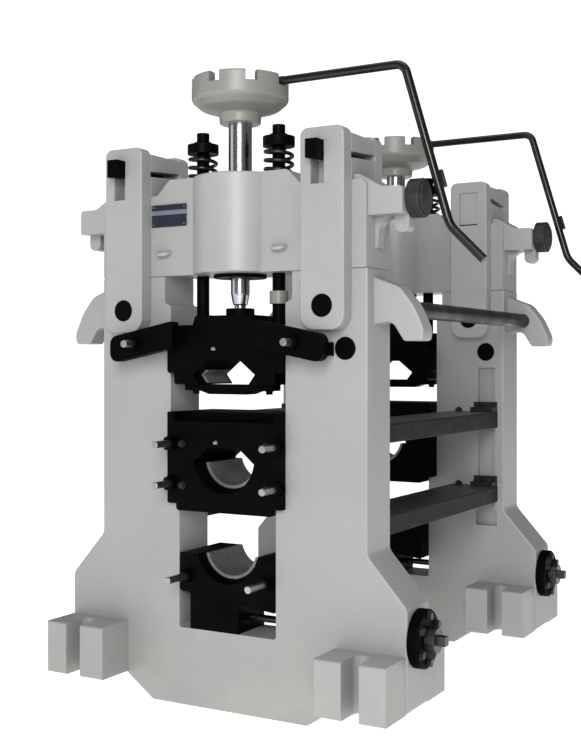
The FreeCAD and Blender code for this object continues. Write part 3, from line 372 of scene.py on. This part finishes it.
def ease(piece, width, segments=2):
    """Bevels the sharp edges and keeps flat faces flat."""
    if width:
        bevel = piece.modifiers.new("ease", "BEVEL")
        bevel.width = width
        bevel.segments = segments
        bevel.limit_method = "ANGLE"
        bevel.angle_limit = SHARP
        bevel.use_clamp_overlap = True
        bevel.miter_outer = "MITER_ARC"
    weighted = piece.modifiers.new("flat", "WEIGHTED_NORMAL")
    weighted.keep_sharp = True
    return piece


def finished(mesh_builder, name, material, body, width=0.0, smooth=SHARP):
    """Makes a piece of a bmesh: shades it, eases its edges and lets it ride on its body."""
    mesh = bpy.data.meshes.new(name)
    for face in mesh_builder.faces:
        face.smooth = True
    for edge in mesh_builder.edges:
        edge.smooth = len(edge.link_faces) == 2 and edge.calc_face_angle(0) < smooth
    mesh_builder.to_mesh(mesh)
    mesh_builder.free()
    mesh.materials.append(material)
    piece = bpy.data.objects.new(name, mesh)
    bpy.context.scene.collection.objects.link(piece)
    ease(piece, width)
    piece = plain_mesh(piece)
    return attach(piece, body)


RECORD = frame["record"]
BODY_OF = {}
for body_name, body_nodes in RECORD["behaviour"]["bodies"].items():
    for body_node in body_nodes:
        BODY_OF[body_node] = body_name


def dress(node, material, width):
    """A merged, bevelled copy that stands for the node."""
    work = bmesh.new()
    work.from_mesh(frame["nodes"][node].data)
    bmesh.ops.remove_doubles(work, verts=work.verts, dist=1e-6)
    bmesh.ops.dissolve_limit(work, angle_limit=math.radians(0.4), verts=work.verts, edges=work.edges)
    name = node + "_finished"
    piece = finished(work, name, material, BODY_OF[node], width)
    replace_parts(piece, node)
    return piece


SIDE_FINISHES = {
    "housing": (CASTING, 2.0),
    "cap": (CASTING, 2.5),
    "top_chock": (BLACK, 1.5),
    "middle_chock": (BLACK, 1.5),
    "bottom_chock": (BLACK, 1.5),
    "top_liner": (LINER_METAL, 0.5),
    "bottom_liner": (LINER_METAL, 0.5),
    "top_keeper": (BLACK, 1.0),
    "balance_rods": (BLACK, 1.5),
    "breaker_cup": (BLACK, 2.0),
    "screw": (SCREW_STEEL, 1.0),
    "handwheel": (WHEEL, 2.5),
    "crank_bar": (BLACK_BAR, 1.0),
    "wedge": (BLACK, 1.0),
    "wedge_screw": (WEDGE_SCREW_STEEL, 1.5),
}
SHARED_FINISHES = {
    "cap_straps": (CASTING, 1.5),
    "cap_cotters": (BLACK, 2.0),
    "cotter_gibs": (CASTING, 1.5),
    "housing_pins": (BLACK, 3.0),
    "screw_nuts": (NUT_STEEL, 0.0),
    "middle_riders": (BLACK, 1.5),
    "middle_liners": (LINER_METAL, 0.5),
    "chock_clamps": (BLACK, 2.0),
    "wedge_flanges": (BLACK, 1.0),
    "rest_bars": (REST_BAR, 0.0),
    "rest_bar_brackets": (DARK_STEEL, 1.5),
    "spreader_bars": (DARK_STEEL, 1.0),
    "arm_end_drums": (RUBBER, 2.0),
    "name_plate": (PLATE, 0.6),
}
for part, (material, width) in SIDE_FINISHES.items():
    for side in SIDES:
        dress(f"{side}_{part}", material, width * MM)
for part, (material, width) in SHARED_FINISHES.items():
    dress(part, material, width * MM)
dressed_pieces = [o for o in bpy.context.scene.objects if o.name.endswith("_finished")]
print("dressed:", sum(len(piece.data.polygons) for piece in dressed_pieces), "faces")

# %% [markdown]
# The balance springs hold the chock up when no roll does. A spring follows a rule, so Geometry Nodes make
# it: a spiral curve gets a round wire along it, and the result is set on each rod. In the real stand the
# chock's cups press the springs as it comes down; here each coil is made once, at its full height.

# %% Coil springs
def geometry_tree(name, inputs):
    """A new Geometry Nodes tree with named inputs; gives the tree and its input sockets."""
    tree = bpy.data.node_groups.new(name, "GeometryNodeTree")
    tree.interface.new_socket("Geometry", in_out="INPUT", socket_type="NodeSocketGeometry")
    for label, kind in inputs:
        tree.interface.new_socket(label, in_out="INPUT", socket_type="NodeSocket" + kind)
    tree.interface.new_socket("Geometry", in_out="OUTPUT", socket_type="NodeSocketGeometry")
    graph = Graph(tree)
    entry = graph.node("NodeGroupInput")
    sockets = {label: graph.value(entry, label) for label in ["Geometry"] + [label for label, _ in inputs]}
    return graph, sockets


def close_tree(graph, instances, material):
    """Realizes the instances, gives them their material and ends the tree."""
    real = graph.value(graph.node("GeometryNodeRealizeInstances", None, {"Geometry": instances}))
    painted = graph.node("GeometryNodeSetMaterial", None, {"Geometry": real, "Material": material})
    graph.node("NodeGroupOutput", None, {0: graph.value(painted)})
    return graph.tree


def from_tree(name, tree, points, values, body, width=0.0):
    """Runs a tree on a mesh of points and keeps the result as a plain piece."""
    mesh = bpy.data.meshes.new(name)
    mesh.from_pydata([tuple(point) for point in points], [], [])
    piece = bpy.data.objects.new(name, mesh)
    bpy.context.scene.collection.objects.link(piece)
    modifier = piece.modifiers.new("made", "NODES")
    modifier.node_group = tree
    for item in tree.interface.items_tree:
        if item.in_out == "INPUT" and item.name in values:
            modifier[item.identifier] = values[item.name]
    rough = plain_mesh(piece)
    work = bmesh.new()
    work.from_mesh(rough.data)
    bpy.data.objects.remove(rough)
    bmesh.ops.remove_doubles(work, verts=work.verts, dist=1e-6)
    bmesh.ops.recalc_face_normals(work, faces=work.faces)
    return finished(work, name, values["Material"], body, width)


def coil_tree():
    graph, given = geometry_tree("coil_on_rods", [
        ("Coil Radius", "Float"), ("Wire Radius", "Float"), ("Height", "Float"), ("Turns", "Float"),
        ("Material", "Material")])
    spiral = graph.node("GeometryNodeCurveSpiral", None, {
        "Resolution": 28, "Rotations": given["Turns"], "Start Radius": given["Coil Radius"],
        "End Radius": given["Coil Radius"], "Height": given["Height"]})
    wire = graph.node("GeometryNodeCurvePrimitiveCircle", None, {"Resolution": 12,
                                                                 "Radius": given["Wire Radius"]})
    coil = graph.node("GeometryNodeCurveToMesh", None, {
        "Curve": graph.value(spiral), "Profile Curve": graph.value(wire), "Fill Caps": True})
    placed = graph.node("GeometryNodeInstanceOnPoints", None, {
        "Points": given["Geometry"], "Instance": graph.value(coil)})
    return close_tree(graph, graph.value(placed), given["Material"])


COIL = coil_tree()
WIRE = 7.5 * MM
COIL_RADIUS = 52.5 * MM
COIL_HALF = 60 * MM
SPRING_TURNS = 2.75
for side in SIDES:
    low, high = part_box(f"{side}_balance_springs")
    foot = CAP_TOP + WIRE
    rods_at = (high[0] - low[0]) / 2 - COIL_HALF
    springs = from_tree(
        f"{side}_coil_springs", COIL,
        [on_side(side, (sign * rods_at, 0, foot)) for sign in (-1, 1)],
        {"Coil Radius": COIL_RADIUS, "Wire Radius": WIRE, "Height": high[2] - low[2] - 2 * WIRE,
         "Turns": SPRING_TURNS, "Material": BLACK_BAR},
        "mill")
    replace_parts(springs, f"{side}_balance_springs")
    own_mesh(springs)
print("springs:", SPRING_TURNS, "turns of", 2 * WIRE / MM, "mm wire")

# %% [markdown]
# A stand is full of nuts and bolts of a few kinds. One tree makes a washer, a hexagon and a bit of bare
# thread end, and sets the three on every point that it is given, all turned the same way. Each group on
# one body becomes one mesh, and its corners get a small bevel.

# %% Nuts and bolts
def fastener_tree():
    graph, given = geometry_tree("fasteners_on_points", [
        ("Corner Radius", "Float"), ("Height", "Float"), ("Washer", "Float"), ("Thread Radius", "Float"),
        ("Thread End", "Float"), ("Rotation", "Rotation"), ("Material", "Material")])

    def cylinder(sides, radius, depth, base):
        body = graph.node("GeometryNodeMeshCylinder", None, {"Vertices": sides, "Radius": radius,
                                                             "Depth": depth})
        lift = graph.node("ShaderNodeCombineXYZ", None, {2: base + depth * 0.5})
        return graph.value(graph.node("GeometryNodeTransform", None, {
            "Geometry": graph.value(body, "Mesh"), "Translation": graph.value(lift)}))

    washer = cylinder(24, given["Corner Radius"] * 1.16, given["Washer"], 0.0)
    nut = cylinder(6, given["Corner Radius"], given["Height"], given["Washer"])
    thread = cylinder(16, given["Thread Radius"], given["Thread End"], given["Washer"] + given["Height"])
    joined = graph.node("GeometryNodeJoinGeometry")
    for shape in (washer, nut, thread):
        graph.tree.links.new(shape.socket, joined.inputs[0])
    placed = graph.node("GeometryNodeInstanceOnPoints", None, {
        "Points": given["Geometry"], "Instance": graph.value(joined), "Rotation": given["Rotation"]})
    return close_tree(graph, graph.value(placed), given["Material"])


FASTENER = fastener_tree()
TURN_TO = {
    "+x": (0, math.pi / 2, 0), "-x": (0, -math.pi / 2, 0), "+y": (-math.pi / 2, 0, 0),
    "-y": (math.pi / 2, 0, 0), "+z": (0, 0, 0), "-z": (math.pi, 0, 0),
}


def fasteners(name, points, direction, size, body, material=None, height=0.8,
              thread=0.35, washer=0.12):
    """Nuts or bolt heads on the given points. The other sizes are shares of the corner radius."""
    return from_tree(name, FASTENER, points, {
        "Corner Radius": size, "Height": size * height, "Washer": size * washer,
        "Thread Radius": size * 0.52, "Thread End": max(size * thread, 1e-4),
        "Rotation": TURN_TO[direction], "Material": material or NUT_STEEL}, body, size * 0.05)


def outward(side):
    return "-y" if side == "near" else "+y"


def ring(centre, radius, count, start=0.0):
    """Points on a circle about the X axis."""
    points = []
    for i in range(count):
        angle = start + 2 * math.pi * i / count
        points.append(centre + Vector((0, radius * math.cos(angle), radius * math.sin(angle))))
    return points


FLANGE_LOW, FLANGE_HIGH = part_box("wedge_flanges")
SCREW_Z = (FLANGE_LOW[2] + FLANGE_HIGH[2]) / 2
FLANGE_RADIUS = (FLANGE_HIGH[2] - FLANGE_LOW[2]) / 2
CHOCK_STUD_X = 190 * MM
RIDER_NUT_RISE = 75 * MM
BAR_LOW, BAR_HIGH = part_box("rest_bars")
BAR_THICKNESS = 75 * MM
BAR_TOPS = (BAR_LOW[2] + BAR_THICKNESS, BAR_HIGH[2])
BRACKET_WALL = 22 * MM
BRACKET_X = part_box("rest_bar_brackets")[1][0] - 55 * MM
BRACKET_NUT_OUT = 46 * MM
BRACKET_NUT_APART = 24 * MM
BAR_NUT_OUT = 40 * MM
BAR_NUT_IN = 180 * MM
for side in SIDES:
    hub = on_side(side, (FLANGE_HIGH[0], 0, SCREW_Z))
    fasteners(f"{side}_flange_bolts", ring(hub, FLANGE_RADIUS * 0.78, 6, math.pi / 6), "+x", 15 * MM, "mill",
              DARK_STEEL, thread=0.0)
    fasteners(f"{side}_wedge_lock_bolt", [on_side(side, (-BASE_OUTER, 0, SCREW_Z))], "-x", 22 * MM, "mill",
              BLACK, 1.4, 0.5)
    bracket_nuts = []
    bar_nuts = []
    for sign in (-1, 1):
        for top in BAR_TOPS:
            for shift in (-BRACKET_NUT_APART, BRACKET_NUT_APART):
                bracket_nuts.append(on_side(side, (sign * BRACKET_X + shift, HOUSING_FACE + BRACKET_NUT_OUT,
                                                   top + BRACKET_WALL)))
            bar_nuts.append(on_side(side, (sign * (BAR_HIGH[0] - BAR_NUT_IN), HOUSING_FACE + BAR_NUT_OUT,
                                           top)))
    fasteners(f"{side}_bracket_nuts", bracket_nuts, "+z", 14 * MM, "mill", DARK_STEEL)
    fasteners(f"{side}_rest_bar_nuts", bar_nuts, "+z", 17 * MM, "mill", DARK_STEEL)

    top_body = f"{side}_top_chock_body"
    keeper_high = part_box(f"{side}_top_keeper")[1]
    keeper_y = middle(f"{side}_top_keeper", 1)
    fasteners(f"{side}_keeper_bolts",
              [(sign * (keeper_high[0] - 30 * MM), keeper_y, keeper_high[2] - 24 * MM) for sign in (-1, 1)],
              "-z", 15 * MM, top_body, BLACK, thread=0.0)
    screw_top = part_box(f"{side}_screw")[1][2]
    fasteners(f"{side}_wheel_nut", [on_side(side, (0, 0, screw_top))], "+z", 40 * MM, f"{side}_screw_body",
              SCREW_STEEL, 0.55, 0.12, 0.1)
fastener_groups = [o for o in bpy.context.scene.objects if "bolt" in o.name or "nut" in o.name]
print("fasteners:", len(fastener_groups), "groups")

# %% [markdown]
# The clamps, the middle chocks and the bottom ones have studs whose bright ends stand well out of the
# face. A stud here is turned from a profile: a rod with a chamfered end, and its nut is one of the
# fasteners. The model's own studs give the places of most, and those on the bottom chock ride with it.

# %% Studs on the columns and chocks, and small nuts on the middle chocks
def turned_rod(work, start, direction, radius, length, chamfer=2 * MM, sides=24):
    """Adds a closed rod with a chamfered far end to a bmesh."""
    along = Vector(direction).normalized()
    across = along.orthogonal().normalized()
    other = along.cross(across)
    rings = []
    for reach, size in ((0, radius), (length - chamfer, radius), (length, radius - chamfer)):
        loop = []
        for i in range(sides):
            angle = 2 * math.pi * i / sides
            offset = across * math.cos(angle) * size + other * math.sin(angle) * size
            loop.append(work.verts.new(Vector(start) + along * reach + offset))
        rings.append(loop)
    for low, high in zip(rings, rings[1:]):
        for i in range(sides):
            work.faces.new((low[i], low[(i + 1) % sides], high[(i + 1) % sides], high[i]))
    work.faces.new(list(reversed(rings[0])))
    work.faces.new(rings[-1])


def loose_boxes(node):
    """The boxes of a node's separate solids."""
    work = bmesh.new()
    work.from_mesh(frame["nodes"][node].data)
    bmesh.ops.remove_doubles(work, verts=work.verts, dist=1e-6)
    left = set(work.verts)
    boxes = []
    while left:
        todo = [left.pop()]
        found = []
        while todo:
            vert = todo.pop()
            found.append(vert.co.copy())
            for edge in vert.link_edges:
                other = edge.other_vert(vert)
                if other in left:
                    left.remove(other)
                    todo.append(other)
        boxes.append(([min(co[i] for co in found) for i in range(3)],
                      [max(co[i] for co in found) for i in range(3)]))
    work.free()
    return boxes


STUD_RADIUS = 14 * MM
STUD_BELOW_TOP = 88 * MM
CLAMP_STUDS_BEYOND = 250 * MM
BOTTOM_STUD_X = 180 * MM
BOTTOM_STUD_ROOT = 10 * MM
BOTTOM_STUD_LENGTH = 150 * MM
CLAMP_FACE = -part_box("chock_clamps")[0][1]
CHOCK_FACE = -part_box("near_middle_chock")[0][1]
rods = bmesh.new()
nut_points = {side: [] for side in SIDES}
for low, high in loose_boxes("column_studs"):
    side = "near" if low[1] < PITCH / 2 else "far"
    x = (low[0] + high[0]) / 2
    z = (low[2] + high[2]) / 2
    out = facing(side, (0, -1, 0))
    root = Vector((x, high[1] if side == "near" else low[1], z))
    turned_rod(rods, root, out, STUD_RADIUS, high[1] - low[1])
    seat = CHOCK_FACE if abs(x) < CLAMP_STUDS_BEYOND else CLAMP_FACE
    nut_points[side].append(on_side(side, (x, -seat, z)))
bmesh.ops.recalc_face_normals(rods, faces=rods.faces)
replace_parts(finished(rods, "column_stud_rods", STUD_STEEL, "mill"), "column_studs")
for side in SIDES:
    fasteners(f"{side}_column_stud_nuts", nut_points[side], outward(side), 29 * MM, "mill",
              BLACK, 0.82, 0.0)

for side in SIDES:
    body = f"{side}_bottom_chock_body"
    stud_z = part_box(f"{side}_bottom_chock")[1][2] - STUD_BELOW_TOP
    out = facing(side, (0, -1, 0))
    face_points = [on_side(side, (sign * BOTTOM_STUD_X, -HOUSING_FACE, stud_z)) for sign in (-1, 1)]
    work = bmesh.new()
    for point in face_points:
        turned_rod(work, point - out * BOTTOM_STUD_ROOT, out, STUD_RADIUS, BOTTOM_STUD_LENGTH)
    bmesh.ops.recalc_face_normals(work, faces=work.faces)
    finished(work, f"{side}_bottom_chock_studs", STUD_STEEL, body)
    fasteners(f"{side}_bottom_chock_nuts", face_points, outward(side), 27 * MM, body, BLACK,
              0.85, 0.0)

    middle_low, middle_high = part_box(f"{side}_middle_chock")
    plate_y = middle_low[1] if side == "near" else PITCH - middle_high[1]
    small = []
    for sign in (-1, 1):
        for height in (middle_high[2] - STUD_BELOW_TOP, middle_high[2] + RIDER_NUT_RISE):
            small.append(on_side(side, (sign * CHOCK_STUD_X, plate_y, height)))
    fasteners(f"{side}_middle_chock_nuts", small, outward(side), 13 * MM, "mill", DARK_STEEL)
print("studs and nuts on the chocks placed")

# %% [markdown]
# Small turned pieces: the flange of the screw nut under the cap, painted black to stand for the shadow
# under the cap's boss, a loose collar on one balance rod, grease nipples on the chocks, and the dark end
# plate of the drum. All are solids of revolution, so one function spins a short profile round an axis.

# %% Solids of revolution
def spun(work, profile, origin, direction, sides=48):
    """Adds a closed ring or disc: profile is (distance from the axis, height) round a closed outline."""
    along = Vector(direction).normalized()
    across = along.orthogonal().normalized()
    other = along.cross(across)
    loops = []
    for i in range(sides):
        angle = 2 * math.pi * i / sides
        out = across * math.cos(angle) + other * math.sin(angle)
        loops.append([work.verts.new(Vector(origin) + out * reach + along * rise) for reach, rise in profile])
    for i in range(sides):
        here, after = loops[i], loops[(i + 1) % sides]
        for j in range(len(profile)):
            k = (j + 1) % len(profile)
            work.faces.new([here[j], after[j], after[k], here[k]])
    bmesh.ops.remove_doubles(work, verts=work.verts, dist=1e-6)
    bmesh.ops.dissolve_degenerate(work, edges=work.edges, dist=1e-7)
    bmesh.ops.recalc_face_normals(work, faces=work.faces)


NIPPLE = [(0, 0), (8 * MM, 0), (8 * MM, 5 * MM), (5 * MM, 9 * MM), (6 * MM, 13 * MM), (0, 15 * MM)]
ROD_X = 175 * MM
DRUM_LOW, DRUM_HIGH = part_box("arm_end_drums")
DRUM_Z = (DRUM_LOW[2] + DRUM_HIGH[2]) / 2
DRUM_RADIUS = (DRUM_HIGH[2] - DRUM_LOW[2]) / 2
for side in SIDES:
    work = bmesh.new()
    # Painted shade: the nut flange is black to stand for the shadow under the cap's boss.
    spun(work, [(50 * MM, 0), (104 * MM, 0), (104 * MM, 14 * MM), (50 * MM, 14 * MM)],
         on_side(side, (0, 0, CAP_UNDERSIDE - 14 * MM)), (0, 0, 1), 72)
    finished(work, f"{side}_nut_flange_black_for_shade", BLACK, "mill", 1.5 * MM)

    work = bmesh.new()
    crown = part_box(f"{side}_breaker_cup")[0][2]
    spun(work, [(25.2 * MM, 0), (36 * MM, 0), (36 * MM, 50 * MM), (25.2 * MM, 50 * MM)],
         on_side(side, (ROD_X, 0, crown + 44 * MM)), (0, 0, 1))
    finished(work, f"{side}_rod_collar", WHEEL, f"{side}_top_chock_body", 2 * MM)

    for chock, body, x, rise in (("top_chock", f"{side}_top_chock_body", -40 * MM, 138 * MM),
                                 ("middle_chock", "mill", -31 * MM, 271 * MM)):
        low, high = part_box(f"{side}_{chock}")
        face = low[1] if side == "near" else PITCH - high[1]
        work = bmesh.new()
        spun(work, NIPPLE, on_side(side, (x, face, low[2] + rise)), facing(side, (0, -1, 0)), 16)
        finished(work, f"{side}_{chock}_nipple", STUD_STEEL, body)

    work = bmesh.new()
    spun(work, [(0, 0), (56 * MM, 0), (56 * MM, 5 * MM), (38 * MM, 8 * MM), (0, 8 * MM)],
         on_side(side, (DRUM_HIGH[0], 0, DRUM_Z)), (1, 0, 0))
    finished(work, f"{side}_drum_end_plate", RUBBER, "mill", 1 * MM)
print("turned pieces made")

# %% [markdown]
# The drum at the end of each cap arm is wrapped in flat ribs. They repeat at one spacing along its axis,
# so a tree draws a line of points and sets a thin disc on each.

# %% Ribs round the drums
def rib_tree():
    graph, given = geometry_tree("ribs_along_a_line", [
        ("Count", "Int"), ("Start", "Vector"), ("Step", "Vector"), ("Radius", "Float"), ("Width", "Float"),
        ("Rotation", "Rotation"), ("Material", "Material")])
    line = graph.node("GeometryNodeMeshLine", {"mode": "OFFSET"}, {
        "Count": given["Count"], "Start Location": given["Start"], "Offset": given["Step"]})
    disc = graph.node("GeometryNodeMeshCylinder", None, {"Vertices": 56, "Radius": given["Radius"],
                                                         "Depth": given["Width"]})
    placed = graph.node("GeometryNodeInstanceOnPoints", None, {
        "Points": graph.value(line), "Instance": graph.value(disc, "Mesh"), "Rotation": given["Rotation"]})
    return close_tree(graph, graph.value(placed), given["Material"])


RIBS = rib_tree()
RIB_COUNT = 5
for side in SIDES:
    length = DRUM_HIGH[0] - DRUM_LOW[0]
    step = length / RIB_COUNT
    start = on_side(side, (DRUM_LOW[0] + step / 2, 0, DRUM_Z))
    from_tree(f"{side}_drum_ribs", RIBS, [(0, 0, 0)], {
        "Count": RIB_COUNT, "Start": tuple(start), "Step": (step, 0, 0), "Radius": DRUM_RADIUS + 4 * MM,
        "Width": step * 0.45, "Rotation": TURN_TO["+x"], "Material": RUBBER}, "mill", 1 * MM)
print("drum ribs:", RIB_COUNT, "a drum")

# %% [markdown]
# Cast details on the caps: small half-round lugs, each a bent round bar that grows out of the face. A
# bevelled curve makes it, turned into a mesh so that it can be shaded like the rest. The name
# plate gets a raised border and four rivets, and stays blank. Each crank bar carries a small flat lug.

# %% Cast lugs, plate border and crank lug
def bent_bar(name, points, radius, material, body):
    """A round bar along a smooth line through the points."""
    curve = bpy.data.curves.new(name, "CURVE")
    curve.dimensions = "3D"
    curve.bevel_depth = radius
    curve.bevel_resolution = 5
    curve.use_fill_caps = True
    spline = curve.splines.new("NURBS")
    spline.points.add(len(points) - 1)
    for place, point in zip(spline.points, points):
        place.co = (*point, 1)
    spline.order_u = 3
    spline.use_endpoint_u = True
    spline.resolution_u = 8
    piece = bpy.data.objects.new(name, curve)
    bpy.context.scene.collection.objects.link(piece)
    depsgraph = bpy.context.evaluated_depsgraph_get()
    mesh = bpy.data.meshes.new_from_object(piece.evaluated_get(depsgraph), depsgraph=depsgraph)
    bpy.data.objects.remove(piece)
    work = bmesh.new()
    work.from_mesh(mesh)
    bpy.data.meshes.remove(mesh)
    bmesh.ops.remove_doubles(work, verts=work.verts, dist=1e-6)
    bmesh.ops.recalc_face_normals(work, faces=work.faces)
    return finished(work, name, material, body)


LUG_Z = CAP_UNDERSIDE + 84 * MM
LUG_HALF = 26 * MM
LUG_ROOT_Y = -HOUSING_FACE + 6 * MM
LUG_CREST_Y = -HOUSING_FACE - 26 * MM
LUG_ROOT_Z = LUG_Z + 8 * MM
for side in SIDES:
    for label, x in (("left", -292 * MM), ("right", 236 * MM)):
        arch = [(x - LUG_HALF, LUG_ROOT_Y, LUG_ROOT_Z), (x - LUG_HALF, LUG_CREST_Y, LUG_Z),
                (x + LUG_HALF, LUG_CREST_Y, LUG_Z), (x + LUG_HALF, LUG_ROOT_Y, LUG_ROOT_Z)]
        bent_bar(f"{side}_{label}_cap_lug", [on_side(side, point) for point in arch], 9 * MM, CASTING, "mill")


def box_mesh(work, low, high):
    """Adds a closed box to a bmesh."""
    size = Vector(high) - Vector(low)
    centre = (Vector(high) + Vector(low)) / 2
    bmesh.ops.create_cube(work, size=1.0, matrix=Matrix.Translation(centre) @ Matrix.Diagonal((*size, 1)))


PLATE_LOW, PLATE_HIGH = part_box("name_plate")
RIM = 4 * MM
work = bmesh.new()
front = PLATE_LOW[1] - 1.5 * MM
for low_x, high_x, low_z, high_z in (
        (PLATE_LOW[0], PLATE_HIGH[0], PLATE_LOW[2], PLATE_LOW[2] + RIM),
        (PLATE_LOW[0], PLATE_HIGH[0], PLATE_HIGH[2] - RIM, PLATE_HIGH[2]),
        (PLATE_LOW[0], PLATE_LOW[0] + RIM, PLATE_LOW[2] + RIM, PLATE_HIGH[2] - RIM),
        (PLATE_HIGH[0] - RIM, PLATE_HIGH[0], PLATE_LOW[2] + RIM, PLATE_HIGH[2] - RIM)):
    box_mesh(work, (low_x, front, low_z), (high_x, PLATE_LOW[1], high_z))
finished(work, "plate_border", PLATE, "mill", 0.4 * MM)
work = bmesh.new()
for x in (PLATE_LOW[0] + 9 * MM, PLATE_HIGH[0] - 9 * MM):
    for z in (PLATE_LOW[2] + 9 * MM, PLATE_HIGH[2] - 9 * MM):
        spun(work, [(0, 0), (3.5 * MM, 0), (3 * MM, 1.6 * MM), (0, 2.6 * MM)], (x, PLATE_LOW[1], z),
             (0, -1, 0), 12)
finished(work, "plate_rivets", STUD_STEEL, "mill")

CRANK_LUG_SIZE = (24 * MM, 14 * MM, 66 * MM)
CRANK_LUG_AT = (846 * MM, 0, 2001 * MM)
CRANK_LEAN = -math.atan2(176, 596)
for side in SIDES:
    work = bmesh.new()
    bmesh.ops.create_cube(work, size=1.0, matrix=Matrix.Diagonal((*CRANK_LUG_SIZE, 1)))
    lean = Matrix.Rotation(CRANK_LEAN, 4, "Y")
    spot = on_side(side, CRANK_LUG_AT)
    bmesh.ops.transform(work, matrix=Matrix.Translation(spot) @ lean, verts=work.verts)
    finished(work, f"{side}_crank_lug", BLACK_BAR, f"{side}_screw_body", 4 * MM)
print("lugs, plate border and crank lugs made")

# %% [markdown]
# A plain pale floor and soft light, as in a studio: a large lamp in front and to the right, a weaker one
# from the left, and one overhead. The surroundings look white to the camera but send out less light, so
# that polished steel shows both bright bands and dark ones. The floor glows a little, to stay white too.

# %% Floor, light and camera
floor_mesh = bpy.data.meshes.new("floor")
SPREAD = 30.0
FLOOR_CORNERS = [(-SPREAD, -SPREAD, 0), (SPREAD, -SPREAD, 0), (SPREAD, SPREAD, 0), (-SPREAD, SPREAD, 0)]
floor_mesh.from_pydata(FLOOR_CORNERS, [], [(0, 1, 2, 3)])
floor = bpy.data.objects.new("floor", floor_mesh)
bpy.context.scene.collection.objects.link(floor)
floor_finish = Finish("pale_floor", 0.9, specular=0.1)
floor_finish.colour(shade(0.95, 0.95, 0.95))
floor_finish.shader.inputs["Emission Color"].default_value = shade(1, 1, 1)
floor_finish.shader.inputs["Emission Strength"].default_value = 0.8
floor_mesh.materials.append(floor_finish.material)

world = bpy.data.worlds.new("studio")
world.use_nodes = True
bpy.context.scene.world = world
sky = Graph(world.node_tree)
seen = sky.value(sky.node("ShaderNodeLightPath"), "Is Camera Ray")
sky.feed(world.node_tree.nodes["Background"].inputs["Color"], (1.0, 1.0, 1.0, 1.0))
glossy = sky.value(sky.node("ShaderNodeLightPath"), "Is Glossy Ray")
sky.feed(world.node_tree.nodes["Background"].inputs["Strength"], 0.36 + 0.8 * seen - 0.2 * glossy)


def soft_lamp(name, place, aim, size, power):
    lamp = bpy.data.lights.new(name, "AREA")
    lamp.shape = "RECTANGLE"
    lamp.size = size[0]
    lamp.size_y = size[1]
    lamp.energy = power
    holder = bpy.data.objects.new(name, lamp)
    holder.location = place
    holder.rotation_euler = (Vector(aim) - Vector(place)).to_track_quat("-Z", "Y").to_euler()
    bpy.context.scene.collection.objects.link(holder)


CENTRE = (0, PITCH / 2, 1.2)
soft_lamp("key", (2.4, -5.5, 3.2), CENTRE, (2.2, 3.0), 380)
soft_lamp("fill", (-5.0, -3.0, 2.4), CENTRE, (3.0, 3.0), 35)
soft_lamp("overhead", (0.5, 0.2, 6.5), CENTRE, (4.0, 4.0), 110)

camera_data = bpy.data.cameras.new("camera")
camera_data.lens = 55.73
camera_data.sensor_width = 36.0
camera_data.shift_y = -0.0101
camera = bpy.data.objects.new("camera", camera_data)
camera.location = (2.391, -3.826, 1.343)
camera.rotation_euler = (math.radians(90), 0, math.radians(29.5))
bpy.context.scene.collection.objects.link(camera)
bpy.context.scene.camera = camera
bpy.context.scene.view_settings.view_transform = "Standard"
